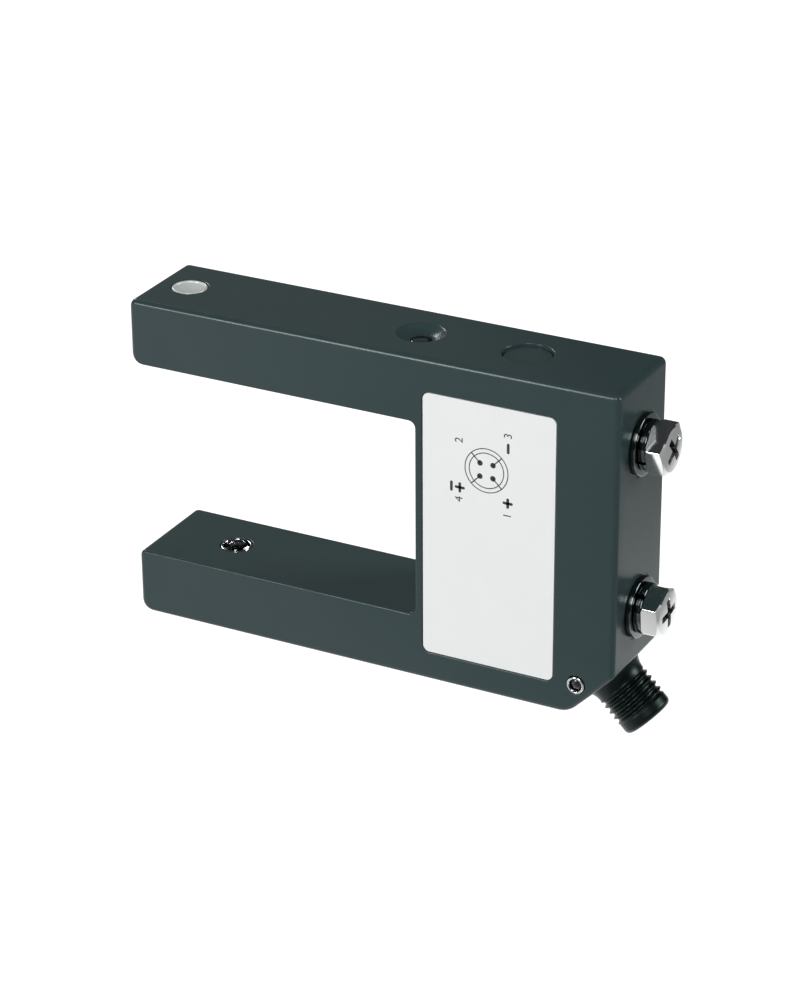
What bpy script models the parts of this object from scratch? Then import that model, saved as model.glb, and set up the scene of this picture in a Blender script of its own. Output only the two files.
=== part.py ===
"""Photoelectric fork sensor with a threaded round connector, built as separate pieces.

Metres, +Z up. X runs along the fork: the arm tips point to -X, and the mounting face is the
plane X = 0. Y runs through the thickness, with the labelled front at -Y. The origin lies on the
mounting face, midway between its two screws.
"""

import math

import bmesh
import bpy
from mathutils import Matrix, Vector

MM = 0.001

# Fork body: overall sizes
BASE_LENGTH = 31 * MM
SLOT_DEPTH = 46 * MM
BODY_DEPTH = 16 * MM
ARM_HEIGHT = 10 * MM
SLOT_WIDTH = 30 * MM
HEEL_CHAMFER = 7 * MM

# Fork body: corners of the side view, and edges of the front and back faces
TIP_TOP_RADIUS = 1.0 * MM
TIP_UNDER_RADIUS = 1.7 * MM
END_CORNER_RADIUS = 1.0 * MM
HEEL_RADIUS = 3.4 * MM
SLOT_CORNER_RADIUS = 1.0 * MM
EDGE_RADIUS = 0.8 * MM
SLOT_EDGE_RADIUS = 0.3 * MM
LEAST_RADIUS = 0.3 * MM

# Die-cast walls
SIDE_WALL = 2.0 * MM
FRONT_WALL = 2.0 * MM
END_WALL = 3.0 * MM

# Fits
FIT_GAP = 0.3 * MM
SEAT_GAP = 0.1 * MM
CUT_OVERRUN = 1.0 * MM

# Mounting screws in the end face, each over a spring washer and a flat washer
LOWER_SCREW_ABOVE_HEEL = 8 * MM
SCREW_PITCH = 25 * MM
SCREW_RADIUS = 2.0 * MM
SCREW_REACH = 9.0 * MM
SCREW_BOSS_RADIUS = 3.6 * MM
SCREW_BOSS_LENGTH = 8.5 * MM
HEX_ACROSS_FLATS = 7.0 * MM
HEX_HEIGHT = 2.8 * MM
HEX_CROWN = 0.2 * MM
HEX_CORNER_DROP = 0.9 * MM
HEX_FOOT_CUT = 0.25 * MM
FLAT_WASHER_RADIUS = 4.5 * MM
FLAT_WASHER_THICKNESS = 0.8 * MM
SPRING_WASHER_RADIUS = 3.7 * MM
SPRING_WASHER_THICKNESS = 1.0 * MM
SPRING_WASHER_SPLIT = 0.7 * MM
SPRING_WASHER_SLOPE = math.radians(25)
RECESS_SPAN = 4.4 * MM
RECESS_WIDTH = 1.0 * MM
RECESS_DEPTH = 1.5 * MM
RECESS_END_SHARE = 0.72
RECESS_FLOOR_SHARE = 0.7
HEX_FACE_SHARE = 0.9
SCREW_TURNS = (math.radians(49), math.radians(35))
RECESS_TURNS = (math.radians(40), math.radians(8))

# Rear cover, its gasket and its countersunk screws
COVER_THICKNESS = 1.2 * MM
COVER_LIP = 1.1 * MM
COVER_FIT = 0.2 * MM
GASKET_THICKNESS = 0.5 * MM
COVER_SCREW_RADIUS = 0.85 * MM
COVER_SCREW_HEAD_RADIUS = 1.8 * MM
COVER_SCREW_HEAD_HEIGHT = 0.95 * MM
COVER_SCREW_REACH = 4.5 * MM
COVER_BOSS_RADIUS = 2.2 * MM
COVER_BOSS_MARGIN = 0.4 * MM
COVER_SCREW_POINT = 0.45 * MM

# Optical axis across the slot
OPTICAL_AXIS_FROM_TIP = 12 * MM
LENS_RADIUS = 1.9 * MM
LENS_DOME = 0.6 * MM
LENS_DOME_DROP = 1.5 * MM
LENS_FLANGE_RADIUS = 2.8 * MM
LENS_FLANGE_THICKNESS = 0.6 * MM
LENS_RING_WALL = 0.35 * MM
DIODE_WIDTH = 3.2 * MM
DIODE_HEIGHT = 0.8 * MM
ARM_BOARD_MARGIN = 0.9 * MM
ARM_BOARD_THICKNESS = 0.8 * MM
ARM_BOARD_OVERHANG = 4.5 * MM
ARM_RIB_THICKNESS = 1.2 * MM
ARM_RIB_SHARES = (0.4, 0.8)

# Cross recess of the small screws: its span as a share of the head's radius, its width as a
# share of the span, and its depth as a share of the head's height
SMALL_RECESS_SPAN = 1.3
SMALL_RECESS_WIDTH = 0.24
SMALL_RECESS_DEPTH = 0.6

# Main board
BOARD_THICKNESS = 1.2 * MM
BOARD_MARGIN = 1.2 * MM
BOARD_TO_COVER = 5.9 * MM
STANDOFF_RADIUS = 2.4 * MM
STANDOFF_INSET = 4.8 * MM
BOARD_SCREW_RADIUS = 0.9 * MM
BOARD_SCREW_HEAD_RADIUS = 1.7 * MM
BOARD_SCREW_HEAD_HEIGHT = 1.1 * MM
BOARD_SCREW_HEAD_CROWN = 0.2 * MM
BOARD_SCREW_REACH = 3.0 * MM
COMPONENT_SPACING = 1.2 * MM
CHIP_SIZE = (6.0 * MM, 8.6 * MM, 1.5 * MM)
DRIVER_SIZE = (4.6 * MM, 4.2 * MM, 1.4 * MM)
CAPACITOR_RADIUS = 2.2 * MM
CAPACITOR_HEIGHT = 3.6 * MM
LEAD_RADIUS = 0.4 * MM
LEAD_SPACING = 1.8 * MM
LEAD_RISE = 2.5 * MM

# Label on the front of the base
LABEL_FROM_SLOT = 1.3 * MM
LABEL_FROM_END = 9.3 * MM
LABEL_FROM_BOTTOM = 4.6 * MM
LABEL_FROM_TOP = 5.1 * MM
LABEL_CORNER_RADIUS = 1.0 * MM
LABEL_THICKNESS = 0.25 * MM

# Status light in the front, above the heel
STATUS_FROM_END = 5.7 * MM
STATUS_FROM_BOTTOM = 4.9 * MM
STATUS_BEZEL_RADIUS = 1.32 * MM
STATUS_LENS_RADIUS = 0.85 * MM
STATUS_LENS_CROWN = 0.1 * MM
STATUS_LENS_DROP = 0.4 * MM
STATUS_PROUD = 0.2 * MM
STATUS_LENGTH = 2.3 * MM

# Round features in the top face
INDICATOR_FROM_SLOT_END = 3 * MM
DISH_RADIUS = 3.5 * MM
DISH_DEPTH = 1.1 * MM
INDICATOR_RADIUS = 1.5 * MM
INDICATOR_LIGHT_SIZE = 1.6 * MM
INDICATOR_LIGHT_HEIGHT = 0.7 * MM
PLUG_FROM_END = 17.5 * MM
PLUG_RADIUS = 3.55 * MM
PLUG_SUNK = 0.45 * MM
PLUG_HEAD_THICKNESS = 0.6 * MM
PLUG_STEM_RADIUS = 2.2 * MM
PLUG_STEM_LENGTH = 1.4 * MM
INLAY_FROM_TIP = 5.4 * MM
INLAY_RADIUS = 2.6 * MM
INLAY_THICKNESS = 0.5 * MM

# Threaded connector on the heel; distances along its axis count from the heel's slanted face
CONNECTOR_LENGTH = 8.2 * MM
THREAD_RADIUS = 4.0 * MM
THREAD_LENGTH = 5.4 * MM
THREAD_LEAD_IN = 0.8 * MM
RIM_RADIUS = 3.5 * MM
COLLAR_RADIUS = 4.5 * MM
COLLAR_TAPER = 0.4 * MM
COLLAR_THICKNESS = 1.3 * MM
NECK_RADIUS = 3.5 * MM
SHANK_RADIUS = 3.2 * MM
SHANK_LENGTH = 5.0 * MM
CUP_RADIUS = 2.95 * MM
CUP_DEPTH = 6.4 * MM
SHELL_BORE_RADIUS = 2.65 * MM
SEAL_RING_RADIUS = 3.75 * MM
SEAL_SECTION_RADIUS = 0.28 * MM
NUT_RADIUS = 4.1 * MM
NUT_THICKNESS = 1.8 * MM
NUT_SLOT_WIDTH = 1.2 * MM
NUT_SLOT_DEPTH = 0.7 * MM
INSERT_HEAD_THICKNESS = 1.0 * MM
KEY_WIDTH = 0.9 * MM
KEY_LENGTH = 3.4 * MM
KEY_DEPTH = 0.55 * MM
PIN_RADIUS = 0.45 * MM
PIN_SPACING = 2.1 * MM
PIN_CORNERS = ((1, 1), (1, -1), (-1, -1), (-1, 1))
PIN_FIT = 0.15 * MM
PIN_STANDOUT = 3.6 * MM
PIN_TAIL = 1.4 * MM
WELL_DEPTH = 0.5 * MM

# Facets
CORNER_STEPS = 4
ROUND_STEPS = 32
SMALL_STEPS = 20
PIN_STEPS = 12
LEAD_STEPS = 3
SEAL_STEPS = 6
DISH_STEPS = 6
DOME_STEPS = 5
SMOOTH_ANGLE = math.radians(35)

# Places worked out from the sizes above
SLOT_END_X = -BASE_LENGTH
TIP_X = SLOT_END_X - SLOT_DEPTH
BOTTOM_Z = -(HEEL_CHAMFER + LOWER_SCREW_ABOVE_HEEL + SCREW_PITCH / 2)
TOP_Z = BOTTOM_Z + SLOT_WIDTH + 2 * ARM_HEIGHT
SLOT_FLOOR_Z = BOTTOM_Z + ARM_HEIGHT
SLOT_ROOF_Z = TOP_Z - ARM_HEIGHT
FRONT_Y = -BODY_DEPTH / 2
BACK_Y = BODY_DEPTH / 2
FRONT_INSIDE_Y = FRONT_Y + FRONT_WALL
COVER_INSIDE_Y = BACK_Y - COVER_THICKNESS
LEDGE_Y = COVER_INSIDE_Y - GASKET_THICKNESS - 2 * SEAT_GAP
BOARD_BACK_Y = COVER_INSIDE_Y - BOARD_TO_COVER
BOARD_FRONT_Y = BOARD_BACK_Y - BOARD_THICKNESS
STANDOFF_TOP_Y = BOARD_FRONT_Y - FIT_GAP
ARM_BOARD_FRONT_Y = FRONT_INSIDE_Y + ARM_BOARD_MARGIN
ARM_BOARD_BACK_Y = LEDGE_Y - ARM_BOARD_MARGIN
OPTICAL_AXIS_X = TIP_X + OPTICAL_AXIS_FROM_TIP
INDICATOR_X = SLOT_END_X - INDICATOR_FROM_SLOT_END
PLUG_X = -PLUG_FROM_END
ALONG_X = Vector((1, 0, 0))
ALONG_Y = Vector((0, 1, 0))
ALONG_Z = Vector((0, 0, 1))
CONNECTOR_AXIS = Vector((1, 0, -1)).normalized()
HEEL_CENTRE = Vector((-HEEL_CHAMFER / 2, 0, BOTTOM_Z + HEEL_CHAMFER / 2))
WORLD = Matrix.Identity(4)


def clear_scene():
    """Removes every object of the scene, so that the model starts from nothing."""
    for obj in list(bpy.data.objects):
        bpy.data.objects.remove(obj, do_unlink=True)


def new_collection(name):
    made = bpy.data.collections.new(name)
    bpy.context.scene.collection.children.link(made)
    return made


clear_scene()
PIECES = new_collection("fork_sensor")
CUTTERS = new_collection("cutters")


def linear(channel):
    """One sRGB channel from 0 to 1, turned to linear light."""
    if channel <= 0.04045:
        return channel / 12.92
    return ((channel + 0.055) / 1.055) ** 2.4


def finish(name, colour, roughness, metallic=0.0, transmission=0.0):
    """A Principled material; the colour is an sRGB hex value."""
    made = bpy.data.materials.new(name)
    made.use_nodes = True
    shader = made.node_tree.nodes["Principled BSDF"]
    rgb = [linear(((colour >> shift) & 255) / 255) for shift in (16, 8, 0)]
    shader.inputs["Base Color"].default_value = (*rgb, 1)
    shader.inputs["Roughness"].default_value = roughness
    shader.inputs["Metallic"].default_value = metallic
    shader.inputs["Transmission Weight"].default_value = transmission
    made.diffuse_color = (*rgb, 1)
    return made


PAINTED_CASTING = finish("painted_casting", 0x3F4B4C, 0.38)
PAINTED_COVER = finish("painted_cover", 0x3C4748, 0.4)
NICKEL = finish("bright_nickel", 0xC9CCCB, 0.14, metallic=1.0)
ZINC = finish("zinc_plate", 0xB4B6B4, 0.3, metallic=1.0)
BLACK_SHELL = finish("blackened_shell", 0x101416, 0.3, metallic=0.6)
BLACK_PLASTIC = finish("black_plastic", 0x15181A, 0.5)
GOLD = finish("gold_plate", 0xC9A24B, 0.25, metallic=1.0)
RUBBER = finish("seal_rubber", 0x1B1C1D, 0.75)
LABEL_FILM = finish("label_film", 0xE8E9E9, 0.4)
CLEAR_LENS = finish("clear_lens", 0xDDE6E8, 0.05, transmission=0.9)
DARK_WINDOW = finish("dark_window", 0x10171A, 0.08)
SATIN_ALUMINIUM = finish("satin_aluminium", 0xC4C8CA, 0.28, metallic=1.0)
BOARD_GREEN = finish("board_green", 0x1E5A3A, 0.45)
CHIP_BLACK = finish("chip_black", 0x1A1A1C, 0.5)
DIODE_CLEAR = finish("diode_epoxy", 0x5A6A72, 0.1)
LIGHT_YELLOW = finish("light_die", 0xE2D9A0, 0.3)
LEAD_COLOURS = (
    finish("lead_brown", 0x5A3420, 0.45),
    finish("lead_white", 0xDCDAD2, 0.45),
    finish("lead_blue", 0x1D3F86, 0.45),
    finish("lead_black", 0x18181A, 0.45),
)


def aim(direction, turn=0.0):
    """The rotation that takes +Z to direction, after a turn about +Z."""
    quarter = Vector(direction).to_track_quat("Z", "Y").to_matrix().to_4x4()
    return quarter @ Matrix.Rotation(turn, 4, "Z")


def add(name, mesh, place, look=None):
    """Links a mesh as a piece where it has a look, and as a hidden cutter where it has none."""
    obj = bpy.data.objects.new(name, mesh)
    if look is None:
        CUTTERS.objects.link(obj)
        obj.hide_render = True
        obj.display_type = "WIRE"
    else:
        PIECES.objects.link(obj)
        mesh.materials.append(look)
        mesh.shade_smooth()
        mesh.set_sharp_from_angle(angle=SMOOTH_ANGLE)
    obj.matrix_world = place
    return obj


def combine(target, other, operation="DIFFERENCE"):
    """Cuts from, joins to or trims the target with a closed mesh."""
    modifier = target.modifiers.new(f"{operation.lower()} {other.name}", "BOOLEAN")
    modifier.object = other
    modifier.operation = operation
    return target


def box(name, low, high, look=None, frame=WORLD):
    """A block between two corners, given in a frame."""
    low = Vector(low)
    high = Vector(high)
    cube = bmesh.new()
    bmesh.ops.create_cube(cube, size=1)
    bmesh.ops.scale(cube, vec=high - low, verts=cube.verts)
    mesh = bpy.data.meshes.new(name)
    cube.to_mesh(mesh)
    cube.free()
    return add(name, mesh, frame @ Matrix.Translation((low + high) / 2), look)


def rod(
    name,
    start,
    end,
    radius,
    look=None,
    end_radius=None,
    steps=ROUND_STEPS,
    turn=0.0,
    frame=WORLD,
):
    """A bar with a given number of sides, or a taper, between two points of a frame."""
    start = Vector(start)
    end = Vector(end)
    far = radius if end_radius is None else end_radius
    bar = bmesh.new()
    length = (end - start).length
    bmesh.ops.create_cone(
        bar, cap_ends=True, segments=steps, radius1=radius, radius2=far, depth=length
    )
    mesh = bpy.data.meshes.new(name)
    bar.to_mesh(mesh)
    bar.free()
    place = frame @ Matrix.Translation((start + end) / 2) @ aim(end - start, turn)
    return add(name, mesh, place, look)


def turned(name, profile, place, look=None, ring=False, steps=ROUND_STEPS):
    """A profile of (radius, height) turned about local Z. It runs down its outer side.

    A ring's profile closes on itself away from the axis."""
    mesh = bpy.data.meshes.new(name)
    points = [(radius, 0, height) for radius, height in profile]
    edges = [(i, i + 1) for i in range(len(points) - 1)]
    if ring:
        edges.append((len(points) - 1, 0))
    mesh.from_pydata(points, edges, [])
    obj = add(name, mesh, place, look)
    screw = obj.modifiers.new("turn", "SCREW")
    screw.steps = steps
    screw.render_steps = steps
    screw.use_merge_vertices = True
    screw.merge_threshold = 0.00001
    return obj


def rounded(corners, steps=CORNER_STEPS):
    """The points of a closed outline whose corners (x, z, radius) are replaced by arcs."""
    points = []
    for index, (x, z, radius) in enumerate(corners):
        corner = Vector((x, z))
        before = (Vector(corners[index - 1][:2]) - corner).normalized()
        after = (Vector(corners[(index + 1) % len(corners)][:2]) - corner).normalized()
        half = before.angle(after) / 2
        centre = corner + (before + after).normalized() * radius / math.sin(half)
        first = corner + before * radius / math.tan(half) - centre
        sweep = first.angle_signed(corner + after * radius / math.tan(half) - centre)
        for step in range(steps + 1):
            arm = first.copy()
            arm.rotate(Matrix.Rotation(-sweep * step / steps, 2))
            points.append(centre + arm)
    return points


def outline_mesh(name, outlines, thickness):
    """A flat outline, with any inner outlines as holes, given a thickness along local Z."""
    curve = bpy.data.curves.new(name, "CURVE")
    curve.dimensions = "2D"
    curve.fill_mode = "BOTH"
    curve.extrude = thickness / 2
    for points in outlines:
        spline = curve.splines.new("POLY")
        spline.points.add(len(points) - 1)
        for point, (x, y) in zip(spline.points, points):
            point.co = (x, y, 0, 1)
        spline.use_cyclic_u = True
    guide = bpy.data.objects.new(name, curve)
    CUTTERS.objects.link(guide)
    bpy.context.view_layer.update()
    graph = bpy.context.evaluated_depsgraph_get()
    mesh = bpy.data.meshes.new_from_object(guide.evaluated_get(graph))
    bpy.data.objects.remove(guide)
    work = bmesh.new()
    work.from_mesh(mesh)
    bmesh.ops.remove_doubles(work, verts=work.verts, dist=0.000001)
    bmesh.ops.dissolve_limit(
        work, angle_limit=math.radians(0.5), verts=work.verts, edges=work.edges
    )
    bmesh.ops.recalc_face_normals(work, faces=work.faces)
    work.to_mesh(mesh)
    work.free()
    return mesh


def upright(y_low, y_high):
    """Stands an outline's local Y up, with its thickness between two Y values."""
    return Matrix.Translation((0, (y_low + y_high) / 2, 0)) @ Matrix.Rotation(math.pi / 2, 4, "X")


def plate(name, outlines, y_low, y_high, look=None):
    """A plate with the given outlines in X and Z, between two Y values."""
    return add(name, outline_mesh(name, outlines, y_high - y_low), upright(y_low, y_high), look)


def fork_outline(inset, end_inset=None):
    """The fork's side view, moved in by a wall; the end face may have a wall of its own."""
    left = TIP_X + inset
    right = -(inset if end_inset is None else end_inset)
    top = TOP_Z - inset
    bottom = BOTTOM_Z + inset
    slot_end = SLOT_END_X + inset
    roof = SLOT_ROOF_Z + inset
    floor = SLOT_FLOOR_Z - inset
    slant = BOTTOM_Z + HEEL_CHAMFER + inset * math.sqrt(2)
    tip_top = max(TIP_TOP_RADIUS - inset, LEAST_RADIUS)
    tip_under = max(TIP_UNDER_RADIUS - inset, LEAST_RADIUS)
    return rounded(
        [
            (left, top, tip_top),
            (right, top, max(END_CORNER_RADIUS - inset, LEAST_RADIUS)),
            (right, right + slant, max(END_CORNER_RADIUS - inset, LEAST_RADIUS)),
            (bottom - slant, bottom, max(HEEL_RADIUS - inset, LEAST_RADIUS)),
            (left, bottom, tip_under),
            (left, floor, tip_top),
            (slot_end, floor, SLOT_CORNER_RADIUS + inset),
            (slot_end, roof, SLOT_CORNER_RADIUS + inset),
            (left, roof, tip_under),
        ]
    )


def edge_weight(edge):
    """How much of the edge radius an edge of the front or back face gets.

    The slot's edges are crisper, and the tips' slot-side corners blend between the two."""
    crisp = SLOT_EDGE_RADIUS / EDGE_RADIUS
    middle = (edge.verts[0].co + edge.verts[1].co) / 2
    if middle.x > SLOT_END_X + EDGE_RADIUS:
        return 1.0
    above = (middle.y - SLOT_ROOF_Z) / TIP_UNDER_RADIUS
    below = (SLOT_FLOOR_Z - middle.y) / TIP_TOP_RADIUS
    share = min(max(above, below, 0.0), 1.0)
    return crisp + (1 - crisp) * share


def fork_block():
    """The fork as a solid with its front and back edges rounded."""
    mesh = outline_mesh("housing", [fork_outline(0.0)], BODY_DEPTH)
    work = bmesh.new()
    work.from_mesh(mesh)
    weight = work.edges.layers.float.new("bevel_weight_edge")
    for edge in work.edges:
        if abs(edge.verts[0].co.z - edge.verts[1].co.z) < MM / 100:
            edge[weight] = edge_weight(edge)
    work.to_mesh(mesh)
    work.free()
    block = add("housing", mesh, upright(FRONT_Y, BACK_Y), PAINTED_CASTING)
    bevel = block.modifiers.new("rounded edges", "BEVEL")
    bevel.limit_method = "WEIGHT"
    bevel.width = EDGE_RADIUS
    bevel.segments = 3
    bevel.use_clamp_overlap = False
    return block


def arms():
    """For each arm: its name, its slot face's height, and the direction away from the slot."""
    return (("upper", SLOT_ROOF_Z, 1), ("lower", SLOT_FLOOR_Z, -1))


def arm_board_span(face, away):
    """The two heights of an arm's board, the nearer one to the slot first."""
    lens_back = face + away * (SIDE_WALL + FIT_GAP + LENS_FLANGE_THICKNESS)
    near = lens_back + away * (DIODE_HEIGHT + 2 * FIT_GAP)
    return near, near + away * ARM_BOARD_THICKNESS


def mount_screw_heights():
    return (SCREW_PITCH / 2, -SCREW_PITCH / 2)


def cover_screw_places():
    """(x, z) of the cover's screws: one in each arm tip and three round the base."""
    reach = COVER_BOSS_RADIUS + COVER_BOSS_MARGIN
    tip_x = TIP_X + SIDE_WALL + reach
    end_x = -END_WALL - reach
    return (
        (tip_x, (SLOT_ROOF_Z + TOP_Z) / 2),
        (tip_x, (SLOT_FLOOR_Z + BOTTOM_Z) / 2),
        (end_x, TOP_Z - SIDE_WALL - reach),
        (end_x, 0),
        (-BASE_LENGTH / 2, BOTTOM_Z + SIDE_WALL + reach),
    )


def board_box():
    """Low and high corners of the main board."""
    left = SLOT_END_X + SIDE_WALL + BOARD_MARGIN
    right = -END_WALL - SCREW_BOSS_LENGTH - BOARD_MARGIN
    bottom = BOTTOM_Z + SIDE_WALL + 2 * (COVER_BOSS_RADIUS + COVER_BOSS_MARGIN) + BOARD_MARGIN
    top = TOP_Z - SIDE_WALL - BOARD_MARGIN
    return Vector((left, BOARD_FRONT_Y, bottom)), Vector((right, BOARD_BACK_Y, top))


def standoff_places():
    """(x, z) of the two screws that hold the main board."""
    low, high = board_box()
    middle = (low.x + high.x) / 2
    return ((middle, high.z - STANDOFF_INSET), (middle, low.z + STANDOFF_INSET))


def along_connector(distance, across=0.0, sideways=0.0):
    """A point at a distance out of the heel along the connector's axis."""
    up_heel = Vector((1, 0, 1)).normalized()
    return HEEL_CENTRE + CONNECTOR_AXIS * distance + up_heel * across + ALONG_Y * sideways


def at(x, y, z, direction=ALONG_Z, turn=0.0):
    return Matrix.Translation((x, y, z)) @ aim(direction, turn)


def housing_inner_metal(housing):
    """Adds the cast bosses, standoffs and ribs inside the hollow housing."""
    for number, z in enumerate(mount_screw_heights(), 1):
        boss = rod(
            f"mount_boss_{number}",
            (-END_WALL / 2, 0, z),
            (-END_WALL - SCREW_BOSS_LENGTH, 0, z),
            SCREW_BOSS_RADIUS,
        )
        web_left = -END_WALL - SCREW_BOSS_LENGTH + CUT_OVERRUN
        web = box(
            f"mount_web_{number}",
            (web_left, FRONT_INSIDE_Y - FRONT_WALL / 2, z - END_WALL / 2),
            (-END_WALL / 2, 0, z + END_WALL / 2),
        )
        combine(housing, boss, "UNION")
        combine(housing, web, "UNION")
    for number, (x, z) in enumerate(cover_screw_places(), 1):
        post = rod(
            f"cover_post_{number}",
            (x, FRONT_INSIDE_Y - FRONT_WALL / 2, z),
            (x, COVER_INSIDE_Y - FIT_GAP, z),
            COVER_BOSS_RADIUS,
            steps=SMALL_STEPS,
        )
        combine(housing, post, "UNION")
    for number, (x, z) in enumerate(standoff_places(), 1):
        standoff = rod(
            f"standoff_{number}",
            (x, FRONT_INSIDE_Y - FRONT_WALL / 2, z),
            (x, STANDOFF_TOP_Y, z),
            STANDOFF_RADIUS,
            steps=SMALL_STEPS,
        )
        combine(housing, standoff, "UNION")
    for name, face, away in arms():
        board_face = arm_board_span(face, away)[0] - away * FIT_GAP
        heights = sorted((face + away * SIDE_WALL / 2, board_face))
        for number, share in enumerate(ARM_RIB_SHARES, 1):
            x = TIP_X + SLOT_DEPTH * share
            rib = box(
                f"{name}_arm_rib_{number}",
                (x, FRONT_INSIDE_Y - FRONT_WALL / 2, heights[0]),
                (x + ARM_RIB_THICKNESS, ARM_BOARD_BACK_Y, heights[1]),
            )
            combine(housing, rib, "UNION")


def housing_bores(housing):
    """Cuts the tapped holes, the lens and light bores, and the connector's seat."""
    for number, z in enumerate(mount_screw_heights(), 1):
        bore = rod(
            f"mount_bore_{number}",
            (CUT_OVERRUN, 0, z),
            (-SCREW_REACH - FIT_GAP, 0, z),
            SCREW_RADIUS + FIT_GAP,
            steps=SMALL_STEPS,
        )
        seat = rod(
            f"washer_seat_{number}",
            (CUT_OVERRUN, 0, z),
            (-SEAT_GAP, 0, z),
            FLAT_WASHER_RADIUS + FIT_GAP,
        )
        combine(housing, seat)
        combine(housing, bore)
    for number, (x, z) in enumerate(cover_screw_places(), 1):
        bore = rod(
            f"cover_bore_{number}",
            (x, BACK_Y, z),
            (x, COVER_INSIDE_Y - COVER_SCREW_REACH - FIT_GAP, z),
            COVER_SCREW_RADIUS + FIT_GAP,
            steps=PIN_STEPS,
        )
        combine(housing, bore)
    for number, (x, z) in enumerate(standoff_places(), 1):
        bore = rod(
            f"standoff_bore_{number}",
            (x, STANDOFF_TOP_Y + CUT_OVERRUN, z),
            (x, STANDOFF_TOP_Y - BOARD_SCREW_REACH - FIT_GAP, z),
            BOARD_SCREW_RADIUS + FIT_GAP,
            steps=PIN_STEPS,
        )
        combine(housing, bore)
    for name, face, away in arms():
        bore = rod(
            f"{name}_lens_bore",
            (OPTICAL_AXIS_X, 0, face - away * CUT_OVERRUN),
            (OPTICAL_AXIS_X, 0, face + away * (SIDE_WALL + CUT_OVERRUN / 2)),
            LENS_RADIUS + LENS_RING_WALL + 2 * SEAT_GAP,
        )
        combine(housing, bore)
    status_x = -STATUS_FROM_END
    status_z = BOTTOM_Z + STATUS_FROM_BOTTOM
    status = rod(
        "status_bore",
        (status_x, FRONT_Y - CUT_OVERRUN, status_z),
        (status_x, FRONT_Y + STATUS_LENGTH + FIT_GAP, status_z),
        STATUS_BEZEL_RADIUS + SEAT_GAP,
        steps=SMALL_STEPS,
    )
    combine(housing, status)


def housing_top_recesses(housing):
    """Cuts the dished window seat, the plug seat and the inlay seat into the top."""
    dish = [(0, CUT_OVERRUN), (DISH_RADIUS, CUT_OVERRUN)]
    for step in range(DISH_STEPS + 1):
        share = step / DISH_STEPS
        radius = DISH_RADIUS + (INDICATOR_RADIUS - DISH_RADIUS) * share
        dish.append((radius, -DISH_DEPTH * math.sin(share * math.pi / 2)))
    dish.append((0, -DISH_DEPTH))
    combine(housing, turned("dish_cutter", dish, at(INDICATOR_X, 0, TOP_Z)))
    window = rod(
        "window_bore",
        (INDICATOR_X, 0, TOP_Z),
        (INDICATOR_X, 0, TOP_Z - SIDE_WALL - CUT_OVERRUN / 2),
        INDICATOR_RADIUS + SEAT_GAP,
        steps=SMALL_STEPS,
    )
    combine(housing, window)
    seat = PLUG_SUNK + PLUG_HEAD_THICKNESS + SEAT_GAP
    plug_seat = rod(
        "plug_seat",
        (PLUG_X, 0, TOP_Z + CUT_OVERRUN),
        (PLUG_X, 0, TOP_Z - seat),
        PLUG_RADIUS + SEAT_GAP,
    )
    plug_bore = rod(
        "plug_bore",
        (PLUG_X, 0, TOP_Z),
        (PLUG_X, 0, TOP_Z - SIDE_WALL - CUT_OVERRUN / 2),
        PLUG_STEM_RADIUS + FIT_GAP,
        steps=SMALL_STEPS,
    )
    inlay_seat = rod(
        "inlay_seat",
        (TIP_X + INLAY_FROM_TIP, 0, TOP_Z + CUT_OVERRUN),
        (TIP_X + INLAY_FROM_TIP, 0, TOP_Z - INLAY_THICKNESS - SEAT_GAP),
        INLAY_RADIUS + SEAT_GAP,
    )
    for cutter in (plug_seat, plug_bore, inlay_seat):
        combine(housing, cutter)


def housing_connector_seat(housing):
    """Cuts the hole through the heel, the seal's groove outside and room for the nut inside."""
    hole = rod(
        "connector_hole",
        along_connector(CUT_OVERRUN),
        along_connector(-SHANK_LENGTH),
        SHANK_RADIUS + FIT_GAP,
    )
    groove = rod(
        "seal_groove",
        along_connector(CUT_OVERRUN),
        along_connector(-2 * SEAL_SECTION_RADIUS - SEAT_GAP),
        SEAL_RING_RADIUS + SEAL_SECTION_RADIUS + SEAT_GAP,
    )
    well = rod(
        "connector_well",
        along_connector(-SIDE_WALL),
        along_connector(-SHANK_LENGTH - WELL_DEPTH),
        NUT_RADIUS + FIT_GAP,
    )
    for cutter in (hole, groove, well):
        combine(housing, cutter)


def label_outline(inset):
    left = SLOT_END_X + LABEL_FROM_SLOT + inset
    right = -LABEL_FROM_END - inset
    bottom = BOTTOM_Z + LABEL_FROM_BOTTOM + inset
    top = TOP_Z - LABEL_FROM_TOP - inset
    radius = LABEL_CORNER_RADIUS - inset
    corners = ((left, top), (right, top), (right, bottom), (left, bottom))
    return rounded([(x, z, radius) for x, z in corners])


def build_housing():
    housing = fork_block()
    hollow = plate(
        "hollow", [fork_outline(SIDE_WALL, END_WALL)], FRONT_INSIDE_Y, BACK_Y + CUT_OVERRUN
    )
    rebate = plate("cover_rebate", [fork_outline(COVER_LIP)], LEDGE_Y, BACK_Y + CUT_OVERRUN)
    combine(housing, hollow)
    combine(housing, rebate)
    housing_inner_metal(housing)
    housing_bores(housing)
    housing_top_recesses(housing)
    housing_connector_seat(housing)
    pocket = plate(
        "label_pocket",
        [label_outline(-SEAT_GAP)],
        FRONT_Y - CUT_OVERRUN,
        FRONT_Y + LABEL_THICKNESS + SEAT_GAP,
    )
    combine(housing, pocket)


def build_label():
    plate("front_label", [label_outline(0.0)], FRONT_Y, FRONT_Y + LABEL_THICKNESS, LABEL_FILM)


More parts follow.
